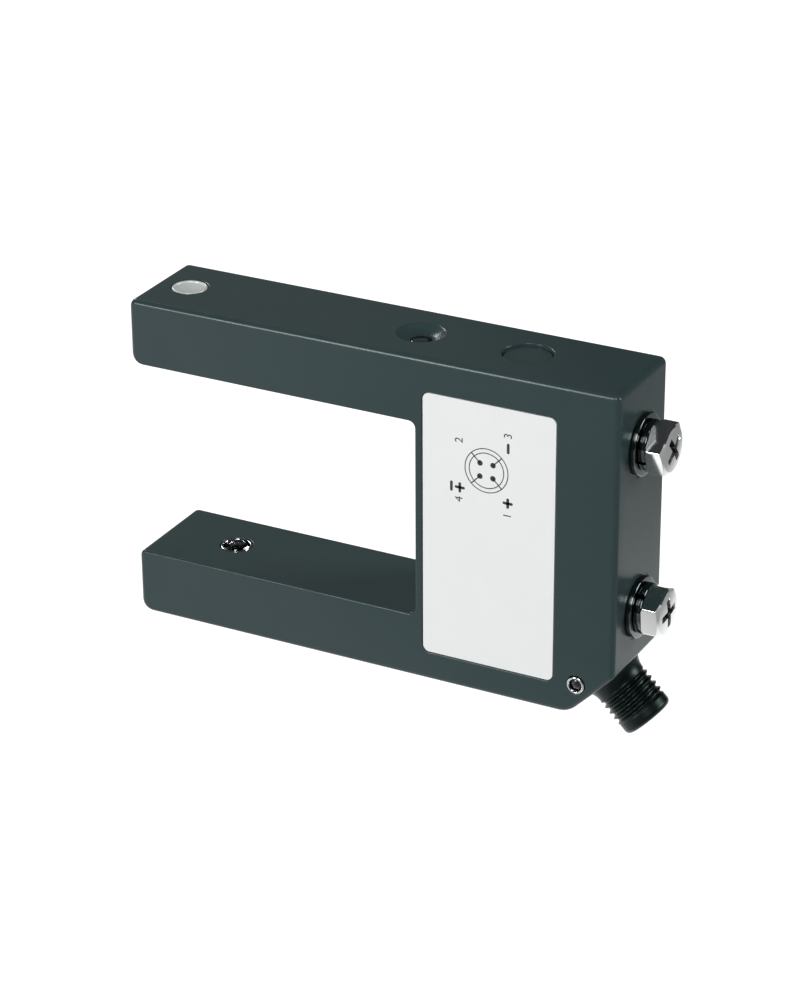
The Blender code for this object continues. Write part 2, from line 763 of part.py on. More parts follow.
def build_cover():
    """The U-shaped cover and its gasket, on the ledge inside the housing's back rim."""
    edge = COVER_LIP + COVER_FIT
    cover = plate("rear_cover", [fork_outline(edge)], COVER_INSIDE_Y, BACK_Y, PAINTED_COVER)
    top = COVER_SCREW_HEAD_RADIUS + 2 * SEAT_GAP
    neck = COVER_SCREW_RADIUS + 2 * SEAT_GAP
    for number, (x, z) in enumerate(cover_screw_places(), 1):
        shaft = rod(
            f"cover_hole_{number}",
            (x, BACK_Y + CUT_OVERRUN, z),
            (x, COVER_INSIDE_Y - CUT_OVERRUN, z),
            neck,
            steps=SMALL_STEPS,
        )
        sink = rod(
            f"cover_sink_{number}",
            (x, BACK_Y + COVER_SCREW_HEAD_HEIGHT, z),
            (x, BACK_Y - COVER_SCREW_HEAD_HEIGHT, z),
            2 * top - neck,
            end_radius=neck,
            steps=SMALL_STEPS,
        )
        combine(cover, shaft)
        combine(cover, sink)
    gasket_low = LEDGE_Y + SEAT_GAP
    plate(
        "cover_gasket",
        [fork_outline(edge), fork_outline(SIDE_WALL - SEAT_GAP, SIDE_WALL - SEAT_GAP)],
        gasket_low,
        gasket_low + GASKET_THICKNESS,
        RUBBER,
    )


def cross_recess(screw, place, span, width, depth):
    """Cuts a cross recess that narrows downwards into a screw head, at a place on its top."""
    for name, turn in (("along", 0.0), ("across", math.pi / 2)):
        wing = bmesh.new()
        bmesh.ops.create_cube(wing, size=1)
        bmesh.ops.scale(wing, vec=(span, width, 2 * depth), verts=wing.verts)
        for vert in wing.verts:
            if vert.co.z < 0:
                vert.co.x *= RECESS_END_SHARE
                vert.co.y *= RECESS_FLOOR_SHARE
        mesh = bpy.data.meshes.new(f"{screw.name}_recess_{name}")
        wing.to_mesh(mesh)
        wing.free()
        combine(screw, add(mesh.name, mesh, place @ Matrix.Rotation(turn, 4, "Z")))


def small_recess(screw, head_radius, head_height):
    """The cross recess of a small screw whose head's top is at the world's origin."""
    span = SMALL_RECESS_SPAN * head_radius
    cross_recess(screw, WORLD, span, SMALL_RECESS_WIDTH * span, SMALL_RECESS_DEPTH * head_height)


def build_mounting_screw(name, z, turn, recess_turn):
    """Hex head with a crowned top and a cross recess, spring washer and flat washer."""
    spring_x = FLAT_WASHER_THICKNESS + SEAT_GAP
    head_x = spring_x + SPRING_WASHER_THICKNESS + SEAT_GAP
    hex_radius = HEX_ACROSS_FLATS / math.sqrt(3)
    place = at(head_x, 0, z, ALONG_X, turn)
    head = rod(name, (0, 0, 0), (0, 0, HEX_HEIGHT), hex_radius, NICKEL, steps=6, frame=place)
    face = HEX_ACROSS_FLATS / 2 * HEX_FACE_SHARE
    crown = turned(
        f"{name}_crown",
        [
            (0, HEX_HEIGHT),
            (face / 2, HEX_HEIGHT - HEX_CROWN / 4),
            (face, HEX_HEIGHT - HEX_CROWN),
            (hex_radius, HEX_HEIGHT - HEX_CORNER_DROP),
            (hex_radius, HEX_FOOT_CUT),
            (hex_radius - 2 * HEX_FOOT_CUT, -HEX_FOOT_CUT),
            (0, -HEX_FOOT_CUT),
        ],
        place,
    )
    combine(head, crown, "INTERSECT")
    shank = rod(
        f"{name}_shank",
        (head_x + HEX_HEIGHT / 3, 0, z),
        (-SCREW_REACH, 0, z),
        SCREW_RADIUS,
        steps=SMALL_STEPS,
    )
    combine(head, shank, "UNION")
    recess_place = at(head_x + HEX_HEIGHT, 0, z, ALONG_X, recess_turn)
    cross_recess(head, recess_place, RECESS_SPAN, RECESS_WIDTH, RECESS_DEPTH)
    hole = SCREW_RADIUS + 2 * SEAT_GAP
    edge = FLAT_WASHER_THICKNESS / 4
    turned(
        f"{name}_flat_washer",
        [
            (hole, FLAT_WASHER_THICKNESS),
            (FLAT_WASHER_RADIUS - edge, FLAT_WASHER_THICKNESS),
            (FLAT_WASHER_RADIUS, FLAT_WASHER_THICKNESS - edge),
            (FLAT_WASHER_RADIUS, edge),
            (FLAT_WASHER_RADIUS - edge, 0),
            (hole, 0),
        ],
        at(0, 0, z, ALONG_X),
        NICKEL,
        ring=True,
    )
    spring_place = at(spring_x, 0, z, ALONG_X, turn * 2)
    spring = turned(
        f"{name}_spring_washer",
        [
            (hole, SPRING_WASHER_THICKNESS),
            (SPRING_WASHER_RADIUS, SPRING_WASHER_THICKNESS),
            (SPRING_WASHER_RADIUS, 0),
            (hole, 0),
        ],
        spring_place,
        NICKEL,
        ring=True,
        steps=SMALL_STEPS,
    )
    middle = Matrix.Translation((0, 0, SPRING_WASHER_THICKNESS / 2))
    split = box(
        f"{name}_split",
        (0, -SPRING_WASHER_SPLIT / 2, -SPRING_WASHER_THICKNESS),
        (SPRING_WASHER_RADIUS + CUT_OVERRUN, SPRING_WASHER_SPLIT / 2, SPRING_WASHER_THICKNESS),
        frame=spring_place @ middle @ Matrix.Rotation(SPRING_WASHER_SLOPE, 4, "X"),
    )
    combine(spring, split)


def copies(pattern, name, places):
    """Replaces a finished small piece by numbered copies of its mesh, one at each place."""
    bpy.context.view_layer.update()
    graph = bpy.context.evaluated_depsgraph_get()
    mesh = bpy.data.meshes.new_from_object(pattern.evaluated_get(graph))
    bpy.data.objects.remove(pattern)
    for number, place in enumerate(places, 1):
        obj = bpy.data.objects.new(f"{name}_{number}", mesh)
        PIECES.objects.link(obj)
        obj.matrix_world = place


def build_cover_screws():
    neck = COVER_SCREW_RADIUS
    length = COVER_THICKNESS + COVER_SCREW_REACH
    pattern = turned(
        "cover_screw",
        [
            (0, 0),
            (COVER_SCREW_HEAD_RADIUS, 0),
            (neck, -COVER_SCREW_HEAD_HEIGHT),
            (neck, COVER_SCREW_POINT - length),
            (neck / 2, -length),
            (0, -length),
        ],
        WORLD,
        ZINC,
        steps=SMALL_STEPS,
    )
    small_recess(pattern, COVER_SCREW_HEAD_RADIUS, COVER_SCREW_HEAD_HEIGHT)
    places = [at(x, BACK_Y - SEAT_GAP, z, ALONG_Y) for x, z in cover_screw_places()]
    copies(pattern, "cover_screw", places)


def build_optics():
    """Each arm's lens, lens ring, diode and board, stacked away from the slot."""
    for name, face, away in arms():
        role = "emitter" if name == "upper" else "receiver"
        to_slot = ALONG_Z * -away
        flange_back = SIDE_WALL + FIT_GAP + LENS_FLANGE_THICKNESS
        lens = [(0, flange_back + LENS_DOME)]
        for step in range(1, DOME_STEPS + 1):
            angle = math.pi / 2 * step / DOME_STEPS
            drop = LENS_DOME_DROP * (1 - math.cos(angle))
            lens.append((LENS_RADIUS * math.sin(angle), flange_back + LENS_DOME - drop))
        lens += [
            (LENS_RADIUS, LENS_FLANGE_THICKNESS),
            (LENS_FLANGE_RADIUS, LENS_FLANGE_THICKNESS),
            (LENS_FLANGE_RADIUS, 0),
            (0, 0),
        ]
        seat = at(OPTICAL_AXIS_X, 0, face + away * flange_back, to_slot)
        turned(f"{role}_lens", lens, seat, CLEAR_LENS)
        inner = LENS_RADIUS + SEAT_GAP
        outer = LENS_RADIUS + LENS_RING_WALL + SEAT_GAP
        ring_length = SIDE_WALL - SEAT_GAP
        bevel = LENS_RING_WALL / 2
        turned(
            f"{role}_lens_ring",
            [
                (inner + bevel, ring_length),
                (outer, ring_length),
                (outer, 0),
                (inner, 0),
                (inner, ring_length - bevel),
            ],
            at(OPTICAL_AXIS_X, 0, face + away * (SIDE_WALL - SEAT_GAP / 2), to_slot),
            NICKEL,
            ring=True,
        )
        near, far = arm_board_span(face, away)
        heights = sorted((near - away * FIT_GAP, near - away * (FIT_GAP + DIODE_HEIGHT)))
        half = DIODE_WIDTH / 2
        box(
            f"{role}_diode",
            (OPTICAL_AXIS_X - half, -half, heights[0]),
            (OPTICAL_AXIS_X + half, half, heights[1]),
            DIODE_CLEAR,
        )
        low, high = sorted((near, far))
        box(
            f"{name}_arm_board",
            (OPTICAL_AXIS_X - ARM_BOARD_OVERHANG, ARM_BOARD_FRONT_Y, low),
            (SLOT_END_X, ARM_BOARD_BACK_Y, high),
            BOARD_GREEN,
        )


def build_top_pieces():
    """Indicator window with its light, the filling plug and the tip inlay."""
    x = INDICATOR_X
    board_top = arm_board_span(SLOT_ROOF_Z, 1)[1]
    light_top = board_top + FIT_GAP + INDICATOR_LIGHT_HEIGHT
    half = INDICATOR_LIGHT_SIZE / 2
    box(
        "indicator_light",
        (x - half, -half, board_top + FIT_GAP),
        (x + half, half, light_top),
        LIGHT_YELLOW,
    )
    rod(
        "indicator_window",
        (x, 0, TOP_Z - SIDE_WALL),
        (x, 0, TOP_Z - DISH_DEPTH),
        INDICATOR_RADIUS,
        DARK_WINDOW,
        steps=SMALL_STEPS,
    )
    edge = PLUG_HEAD_THICKNESS / 4
    length = PLUG_HEAD_THICKNESS + PLUG_STEM_LENGTH
    turned(
        "filling_plug",
        [
            (0, 0),
            (PLUG_RADIUS - edge, 0),
            (PLUG_RADIUS, -edge),
            (PLUG_RADIUS, -PLUG_HEAD_THICKNESS),
            (PLUG_STEM_RADIUS, -PLUG_HEAD_THICKNESS),
            (PLUG_STEM_RADIUS, -length),
            (0, -length),
        ],
        at(PLUG_X, 0, TOP_Z - PLUG_SUNK),
        PAINTED_COVER,
    )
    rim = INLAY_THICKNESS / 3
    turned(
        "tip_inlay",
        [
            (0, -rim / 2),
            (INLAY_RADIUS - 2 * rim, -rim / 2),
            (INLAY_RADIUS - rim, 0),
            (INLAY_RADIUS, -rim / 2),
            (INLAY_RADIUS, -INLAY_THICKNESS),
            (0, -INLAY_THICKNESS),
        ],
        at(TIP_X + INLAY_FROM_TIP, 0, TOP_Z),
        SATIN_ALUMINIUM,
    )


def build_status_light():
    place = at(-STATUS_FROM_END, FRONT_Y, BOTTOM_Z + STATUS_FROM_BOTTOM, -ALONG_Y)
    inner = STATUS_LENS_RADIUS + SEAT_GAP
    outer = STATUS_BEZEL_RADIUS
    turned(
        "status_bezel",
        [
            (inner, STATUS_PROUD / 2),
            ((inner + outer) / 2, STATUS_PROUD),
            (outer, STATUS_PROUD / 2),
            (outer, -FRONT_WALL),
            (inner, -FRONT_WALL),
        ],
        place,
        NICKEL,
        ring=True,
        steps=SMALL_STEPS,
    )
    turned(
        "status_light",
        [
            (0, 0),
            (STATUS_LENS_RADIUS / 2, -STATUS_LENS_CROWN),
            (STATUS_LENS_RADIUS, -STATUS_LENS_DROP),
            (STATUS_LENS_RADIUS, -STATUS_LENGTH),
            (0, -STATUS_LENGTH),
        ],
        place,
        DARK_WINDOW,
        steps=SMALL_STEPS,
    )


def build_connector():
    """Shell, seal, nut, insert and four pins, all on the heel's slanted axis."""
    place = Matrix.Translation(HEEL_CENTRE) @ aim(CONNECTOR_AXIS)
    collar_top = SEAT_GAP + COLLAR_THICKNESS
    thread_low = CONNECTOR_LENGTH - THREAD_LENGTH
    cup_floor = CONNECTOR_LENGTH - CUP_DEPTH
    turned(
        "connector_shell",
        [
            (CUP_RADIUS, CONNECTOR_LENGTH),
            (RIM_RADIUS, CONNECTOR_LENGTH),
            (THREAD_RADIUS, CONNECTOR_LENGTH - THREAD_LEAD_IN),
            (THREAD_RADIUS, thread_low),
            (NECK_RADIUS, thread_low - SEAT_GAP),
            (NECK_RADIUS, collar_top + SEAT_GAP),
            (COLLAR_RADIUS - COLLAR_TAPER, collar_top),
            (COLLAR_RADIUS, SEAT_GAP),
            (SHANK_RADIUS, SEAT_GAP),
            (SHANK_RADIUS, -SHANK_LENGTH),
            (SHELL_BORE_RADIUS, -SHANK_LENGTH),
            (SHELL_BORE_RADIUS, cup_floor),
            (CUP_RADIUS, cup_floor),
        ],
        place,
        BLACK_SHELL,
        ring=True,
    )
    seal = []
    for step in range(SEAL_STEPS):
        angle = math.pi / 2 - math.tau * step / SEAL_STEPS
        seal.append(
            (
                SEAL_RING_RADIUS + SEAL_SECTION_RADIUS * math.cos(angle),
                SEAL_SECTION_RADIUS * math.sin(angle) - SEAL_SECTION_RADIUS,
            )
        )
    turned("connector_seal", seal, place, RUBBER, ring=True)
    nut_top = -SIDE_WALL - SEAT_GAP
    nut_low = nut_top - NUT_THICKNESS
    nut_bore = SHANK_RADIUS + SEAT_GAP
    nut = turned(
        "connector_nut",
        [(nut_bore, nut_top), (NUT_RADIUS, nut_top), (NUT_RADIUS, nut_low), (nut_bore, nut_low)],
        place,
        NICKEL,
        ring=True,
    )
    slot = box(
        "nut_slot",
        (-NUT_RADIUS - CUT_OVERRUN, -NUT_SLOT_WIDTH / 2, nut_low - CUT_OVERRUN),
        (NUT_RADIUS + CUT_OVERRUN, NUT_SLOT_WIDTH / 2, nut_low + NUT_SLOT_DEPTH),
        frame=place,
    )
    combine(nut, slot)
    insert_radius = SHELL_BORE_RADIUS - 2 * SEAT_GAP
    insert_floor = -SHANK_LENGTH - SEAT_GAP
    head_low = cup_floor + SEAT_GAP
    head_top = head_low + INSERT_HEAD_THICKNESS
    insert = turned(
        "connector_insert",
        [
            (0, head_top),
            (CUP_RADIUS - 2 * SEAT_GAP, head_top),
            (CUP_RADIUS - 2 * SEAT_GAP, head_low),
            (insert_radius, head_low),
            (insert_radius, insert_floor),
            (0, insert_floor),
        ],
        place,
        BLACK_PLASTIC,
    )
    key_low = CUP_RADIUS - 2 * SEAT_GAP - KEY_DEPTH
    key = box(
        "insert_key",
        (key_low, -KEY_WIDTH / 2, head_top - INSERT_HEAD_THICKNESS / 2),
        (key_low + KEY_DEPTH, KEY_WIDTH / 2, head_top + KEY_LENGTH),
        frame=place,
    )
    combine(insert, key, "UNION")
    for number, (across, sideways) in enumerate(PIN_CORNERS, 1):
        spot = (across * PIN_SPACING / 2, sideways * PIN_SPACING / 2, 0)
        pin_place = place @ Matrix.Translation(spot)
        hole = rod(
            f"pin_hole_{number}",
            (0, 0, insert_floor - CUT_OVERRUN),
            (0, 0, head_top + CUT_OVERRUN),
            PIN_RADIUS + PIN_FIT,
            steps=PIN_STEPS,
            frame=pin_place,
        )
        combine(insert, hole)
        pin_top = head_top + PIN_STANDOUT
        pin_low = insert_floor - PIN_TAIL
        turned(
            f"connector_pin_{number}",
            [
                (0, pin_top),
                (PIN_RADIUS / 2, pin_top - PIN_RADIUS / 4),
                (PIN_RADIUS, pin_top - PIN_RADIUS),
                (PIN_RADIUS, pin_low),
                (0, pin_low),
            ],
            pin_place,
            GOLD,
            steps=PIN_STEPS,
        )


def build_main_board():
    low, high = board_box()
    board = box("main_board", low, high, BOARD_GREEN)
    screw_places = standoff_places()
    for number, (x, z) in enumerate(screw_places, 1):
        hole = rod(
            f"board_hole_{number}",
            (x, low.y - CUT_OVERRUN, z),
            (x, high.y + CUT_OVERRUN, z),
            BOARD_SCREW_RADIUS + FIT_GAP,
            steps=PIN_STEPS,
        )
        combine(board, hole)
    length = BOARD_SCREW_HEAD_HEIGHT + BOARD_THICKNESS + 2 * FIT_GAP + BOARD_SCREW_REACH
    head = BOARD_SCREW_HEAD_HEIGHT
    pattern = turned(
        "board_screw",
        [
            (0, 0),
            (BOARD_SCREW_HEAD_RADIUS / 2, -BOARD_SCREW_HEAD_CROWN / 2),
            (BOARD_SCREW_HEAD_RADIUS, -2 * BOARD_SCREW_HEAD_CROWN),
            (BOARD_SCREW_HEAD_RADIUS, -head),
            (BOARD_SCREW_RADIUS, -head),
            (BOARD_SCREW_RADIUS, -length),
            (0, -length),
        ],
        WORLD,
        ZINC,
        steps=SMALL_STEPS,
    )
    small_recess(pattern, BOARD_SCREW_HEAD_RADIUS, head)
    head_top = high.y + FIT_GAP + head
    copies(pattern, "board_screw", [at(x, head_top, z, ALONG_Y) for x, z in screw_places])
    middle = (low + high) / 2
    face = high.y + FIT_GAP
    row_heights = (CHIP_SIZE[1], DRIVER_SIZE[1], 2 * CAPACITOR_RADIUS)
    row_top = middle.z + (sum(row_heights) + 2 * COMPONENT_SPACING) / 2
    row_centres = []
    for height in row_heights:
        row_centres.append(row_top - height / 2)
        row_top -= height + COMPONENT_SPACING
    chips = (("amplifier_chip", CHIP_SIZE), ("output_driver", DRIVER_SIZE))
    for (name, (width, tall, thick)), centre in zip(chips, row_centres):
        box(
            name,
            (middle.x - width / 2, face, centre - tall / 2),
            (middle.x + width / 2, face + thick, centre + tall / 2),
            CHIP_BLACK,
        )
    rod(
        "smoothing_capacitor",
        (middle.x, face, row_centres[-1]),
        (middle.x, face + CAPACITOR_HEIGHT, row_centres[-1]),
        CAPACITOR_RADIUS,
        SATIN_ALUMINIUM,
        steps=SMALL_STEPS,
    )


def smooth_path(points, steps=LEAD_STEPS):
    """Points along a smooth curve through the given ones."""
    ends = [2 * points[0] - points[1], *points, 2 * points[-1] - points[-2]]
    path = []
    for a, b, c, d in zip(ends, ends[1:], ends[2:], ends[3:]):
        for step in range(steps):
            t = step / steps
            path.append(
                0.5
                * (
                    2 * b
                    + (c - a) * t
                    + (2 * a - 5 * b + 4 * c - d) * t**2
                    + (3 * b - a - 3 * c + d) * t**3
                )
            )
    path.append(points[-1])
    return path


def lead(name, points, look):
    """An insulated wire along a smooth path."""
    curve = bpy.data.curves.new(name, "CURVE")
    curve.dimensions = "3D"
    curve.bevel_depth = LEAD_RADIUS
    curve.bevel_resolution = 2
    curve.use_fill_caps = True
    path = smooth_path(points)
    spline = curve.splines.new("POLY")
    spline.points.add(len(path) - 1)
    for point, place in zip(spline.points, path):
        point.co = (*place, 1)
    obj = bpy.data.objects.new(name, curve)
    PIECES.objects.link(obj)
    curve.materials.append(look)


def build_leads():
    """Two leads from each arm board, and four from the connector's pins, to the main board."""
    low, high = board_box()
    back = high.y + FIT_GAP
    front = low.y - FIT_GAP
    for name, face, away in arms():
        start_z = arm_board_span(face, away)[1] + away * (FIT_GAP + LEAD_RADIUS)
        end_z = high.z - LEAD_RISE if away > 0 else low.z + LEAD_RISE
        for number in (1, 2):
            y = number * LEAD_SPACING
            end_x = low.x + number * LEAD_SPACING
            points = [
                Vector((SLOT_END_X - LEAD_RISE, y, start_z)),
                Vector((SLOT_END_X, y, start_z)),
                Vector((end_x - LEAD_SPACING / 2, back + y, (start_z + end_z) / 2)),
                Vector((end_x, back + y / 2 + LEAD_RADIUS, end_z)),
                Vector((end_x, back, end_z)),
            ]
            lead(f"{name}_arm_lead_{number}", points, LEAD_COLOURS[2 * (number - 1)])
    tail = -SHANK_LENGTH - SEAT_GAP - PIN_TAIL - FIT_GAP
    half = PIN_SPACING / 2
    for number, (across, sideways) in enumerate(PIN_CORNERS, 1):
        on_board = back if sideways > 0 else front
        hover = on_board + sideways * LEAD_SPACING
        start = along_connector(tail, across * half, sideways * half)
        end_x = high.x - LEAD_SPACING * (1 if across > 0 else 2) + LEAD_RADIUS
        end_z = low.z + LEAD_RISE + (LEAD_SPACING if across > 0 else 0)
        points = [
            start,
            along_connector(tail - LEAD_SPACING / 2, across * half, sideways * half),
            Vector((end_x + LEAD_SPACING, hover, start.z + LEAD_SPACING / 2)),
            Vector((end_x, hover, end_z)),
            Vector((end_x, on_board, end_z)),
        ]
        lead(f"connector_lead_{number}", points, LEAD_COLOURS[number - 1])


def main():
    build_housing()
    build_label()
    build_cover()
    build_cover_screws()
    names = ("upper_mounting_screw", "lower_mounting_screw")
    for name, z, *turns in zip(names, mount_screw_heights(), SCREW_TURNS, RECESS_TURNS):
        build_mounting_screw(name, z, *turns)
    build_optics()
    build_top_pieces()
    build_status_light()
    build_connector()
    build_main_board()
    build_leads()


main()
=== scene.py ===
"""Looks of a photoelectric fork sensor: finishes, finely curved surfaces, studio and camera.

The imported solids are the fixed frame. X runs along the fork with the arm tips at -X, the
labelled front is at -Y and the mounting face is the plane X = 0, in metres.
"""

import logging
import math
from dataclasses import dataclass, replace
from enum import Enum

import bmesh
import bpy
import numpy as np
from mathutils import Matrix, Vector


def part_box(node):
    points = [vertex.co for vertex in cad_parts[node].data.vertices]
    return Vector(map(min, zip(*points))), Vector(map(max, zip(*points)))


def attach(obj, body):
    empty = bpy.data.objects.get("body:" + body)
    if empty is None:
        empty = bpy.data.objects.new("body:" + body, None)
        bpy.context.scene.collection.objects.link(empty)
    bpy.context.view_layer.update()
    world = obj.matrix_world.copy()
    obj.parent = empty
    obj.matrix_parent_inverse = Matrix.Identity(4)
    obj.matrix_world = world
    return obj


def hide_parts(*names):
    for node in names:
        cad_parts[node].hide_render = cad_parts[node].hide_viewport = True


Array = np.ndarray
Pair = tuple[float, float]
Point = tuple[float, float, float]
Tree = bpy.types.NodeTree
Node = bpy.types.Node
Socket = bpy.types.NodeSocket
Piece = bpy.types.Object

MM = 0.001
# Points nearer than this are one point, in metres.
WELD = 1e-7
# Faces that meet at less than this are one flat face.
FLAT_ANGLE = math.radians(0.3)
BODY = "root"
RECESS_DEPTH = "recess_depth"
# The corners of a square, anticlockwise.
CORNERS = ((1, 1), (-1, 1), (-1, -1), (1, -1))
UP = (0, 0, 1)
DOWN = (0, 0, -1)
TO_FRONT = (0, -1, 0)
TO_END = (1, 0, 0)
LIP_STEPS = 8
LOG = logging.getLogger("fork_sensor")

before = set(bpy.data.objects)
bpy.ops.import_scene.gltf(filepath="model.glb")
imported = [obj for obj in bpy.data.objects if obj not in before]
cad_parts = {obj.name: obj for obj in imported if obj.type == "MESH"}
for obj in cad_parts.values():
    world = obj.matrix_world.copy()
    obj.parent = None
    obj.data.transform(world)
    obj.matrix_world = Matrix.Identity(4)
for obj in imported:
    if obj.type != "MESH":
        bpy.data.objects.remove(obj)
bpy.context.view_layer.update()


class Slot(Enum):
    """The record's material slots that go with the new pieces; the code passes them along but
    does not read them.
    """

    CASTING = "painted_casting"
    COVER = "painted_cover"
    NICKEL = "bright_nickel"
    ZINC = "zinc_plate"
    SHELL = "blackened_shell"
    PLASTIC = "black_plastic"
    GOLD = "gold_plate"
    RUBBER = "seal_rubber"
    FILM = "label_film"
    LENS = "clear_lens"
    WINDOW = "dark_window"
    ALUMINIUM = "satin_aluminium"


class Shading(Enum):
    """How the faces of a copied solid meet."""

    CRISP = math.radians(28)
    ROUNDED = math.radians(40)


def linear_colour(code: int) -> tuple[float, float, float, float]:
    """An sRGB hex colour as linear light.

    Args:
        code: the colour as 0xRRGGBB.

    Returns:
        Red, green, blue and an alpha of 1. Each channel c is c / 12.92 where it is small, and
        ((c + 0.055) / 1.055) to the power 2.4 above that.
    """
    channels = np.array([(code >> shift) & 255 for shift in (16, 8, 0)]) / 255
    bright = ((channels + 0.055) / 1.055) ** 2.4
    light = np.where(channels <= 0.04045, channels / 12.92, bright)
    return (*light.tolist(), 1.0)


def set_all(target: object, **settings: object) -> None:
    """Sets attributes of a Blender item by their names."""
    for name, value in settings.items():
        setattr(target, name, value)


def feed(tree: Tree, node: Node, inputs: dict) -> None:
    """Gives a node's inputs what they hold.

    Args:
        tree: the node tree.
        node: the node.
        inputs: for each input, another node's output to link to it, or else its value.
    """
    for name, source in inputs.items():
        if isinstance(source, Socket):
            tree.links.new(source, node.inputs[name])
        else:
            node.inputs[name].default_value = source


def add_node(tree: Tree, kind: str, inputs: dict | None = None, **settings: object) -> Node:
    """Adds a shader node with its settings and links.

    Args:
        tree: the node tree that it joins.
        kind: its type's name, after ShaderNode.
        inputs: what its inputs hold, as for feed.
        settings: properties of the node itself.

    Returns:
        The node.
    """
    node = tree.nodes.new(f"ShaderNode{kind}")
    set_all(node, **settings)
    feed(tree, node, inputs or {})
    return node


@dataclass
class Wiring:
    """The nodes of one material: its tree, its shader and the socket with the point's place."""

    tree: Tree
    shader: Node
    place: Socket

    def add(self, kind: str, output: str | int, inputs: dict, **settings: object) -> Socket:
        """Adds a node and gives the output of it that is used."""
        return add_node(self.tree, kind, inputs, **settings).outputs[output]

    def feed_shader(self, inputs: dict) -> None:
        """Gives the shader's inputs what they hold, as for feed."""
        feed(self.tree, self.shader, inputs)

    def fed(self, name: str) -> Socket:
        """The output that is linked to one of the shader's inputs so far."""
        return self.shader.inputs[name].links[0].from_socket

    def combine(self, operation: str, *terms: Socket | float) -> Socket:
        """One number worked out from others."""
        return self.add("Math", 0, dict(enumerate(terms)), operation=operation)

    def noise(
        self, size: float, detail: float, rough: float = 0.5, over: Socket | None = None
    ) -> Socket:
        """Soft clouds.

        Args:
            size: how large they are, in millimetres.
            detail: how many finer layers they have.
            rough: how strong the finer layers are.
            over: the vector that they lie over; the point's place if it isn't given.

        Returns:
            The socket that holds their height, from 0 to 1.
        """
        vector = self.place if over is None else over
        inputs = {"Vector": vector, "Scale": 1 / (size * MM), "Detail": detail}
        return self.add("TexNoise", "Fac", inputs | {"Roughness": rough})

    def bump(
        self, height: Socket, depth: float, under: Socket | None = None, strength: float = 1.0
    ) -> Socket:
        """A surface raised by a height.

        Args:
            height: the socket that holds the height.
            depth: how high its full range stands, in millimetres.
            under: a raised surface that it lies on.
            strength: the share of the tilt that shows.

        Returns:
            The socket that holds the raised surface's normal.
        """
        inputs = {"Height": height, "Distance": depth * MM, "Strength": strength}
        if under is not None:
            inputs["Normal"] = under
        return self.add("Bump", "Normal", inputs)

    def mix_colours(self, share: Socket, first: int | Socket, second: int) -> Socket:
        """A colour between two.

        Args:
            share: the socket that holds the second colour's share.
            first: a hex colour, or a socket that holds one.
            second: a hex colour.

        Returns:
            The socket that holds the colour.
        """
        start = linear_colour(first) if isinstance(first, int) else first
        inputs = {0: share, 6: start, 7: linear_colour(second)}
        return self.add("Mix", 2, inputs, data_type="RGBA")


# Finishes


@dataclass(frozen=True)
class Finish:
    """A surface finish: its name, its two close colours and its roughness.

    The two colours are mixed in soft clouds, and the roughness wanders by a share of itself.
    """

    name: str
    colour: int
    second: int
    roughness: float
    cloud_mm: float = 9.0
    cloud_detail: float = 3.0
    cloud_roughness: float = 0.55
    cloud_range: Pair = (0.2, 0.8)
    wander: float = 0.15

    def material(self) -> bpy.types.Material:
        """The finish as a material, made once and then found by its name."""
        return bpy.data.materials.get(self.name) or self.build()

    def build(self) -> bpy.types.Material:
        """Builds the material: clouds of colour and roughness, then what the finish adds.

        Returns:
            The new material.
        """
        material = bpy.data.materials.new(self.name)
        material.use_nodes = True
        tree = material.node_tree
        place = add_node(tree, "TexCoord").outputs["Object"]
        wiring = Wiring(tree, tree.nodes["Principled BSDF"], place)
        clouds = wiring.noise(self.cloud_mm, self.cloud_detail, self.cloud_roughness)
        span = {
            "Value": clouds,
            "From Min": self.cloud_range[0],
            "From Max": self.cloud_range[1],
            "To Min": self.roughness * (1 - self.wander),
            "To Max": self.roughness * (1 + self.wander),
        }
        gloss = wiring.add("MapRange", "Result", span, clamp=False)
        shade = wiring.mix_colours(clouds, self.colour, self.second)
        wiring.feed_shader({"Base Color": shade, "Roughness": gloss})
        self.detail(wiring)
        return material

    def detail(self, wiring: Wiring) -> None:
        """Adds what the finish has beyond its colours; the plain one adds nothing."""


@dataclass(frozen=True)
class SatinPaint(Finish):
    """Baked polyester paint on a zinc die casting.

    It gives the eye an even, slightly greenish slate with a soft sheen: a faint orange peel
    about a millimetre across, and a much finer grit that keeps reflections from being sharp
    and takes some of their strength.
    """

    sheen: float = 0.22
    peel_mm: float = 1.1
    peel_detail: float = 1.0
    peel_depth: float = 0.004
    grit_mm: float = 0.22
    grit_detail: float = 2.0
    grit_depth: float = 0.0012

    def detail(self, wiring: Wiring) -> None:
        """Adds the orange peel, with the grit on top of it.

        Args:
            wiring: the material's nodes.
        """
        peel = wiring.bump(wiring.noise(self.peel_mm, self.peel_detail), self.peel_depth)
        grit = wiring.noise(self.grit_mm, self.grit_detail)
        normal = wiring.bump(grit, self.grit_depth, under=peel)
        wiring.feed_shader({"Specular IOR Level": self.sheen, "Normal": normal})


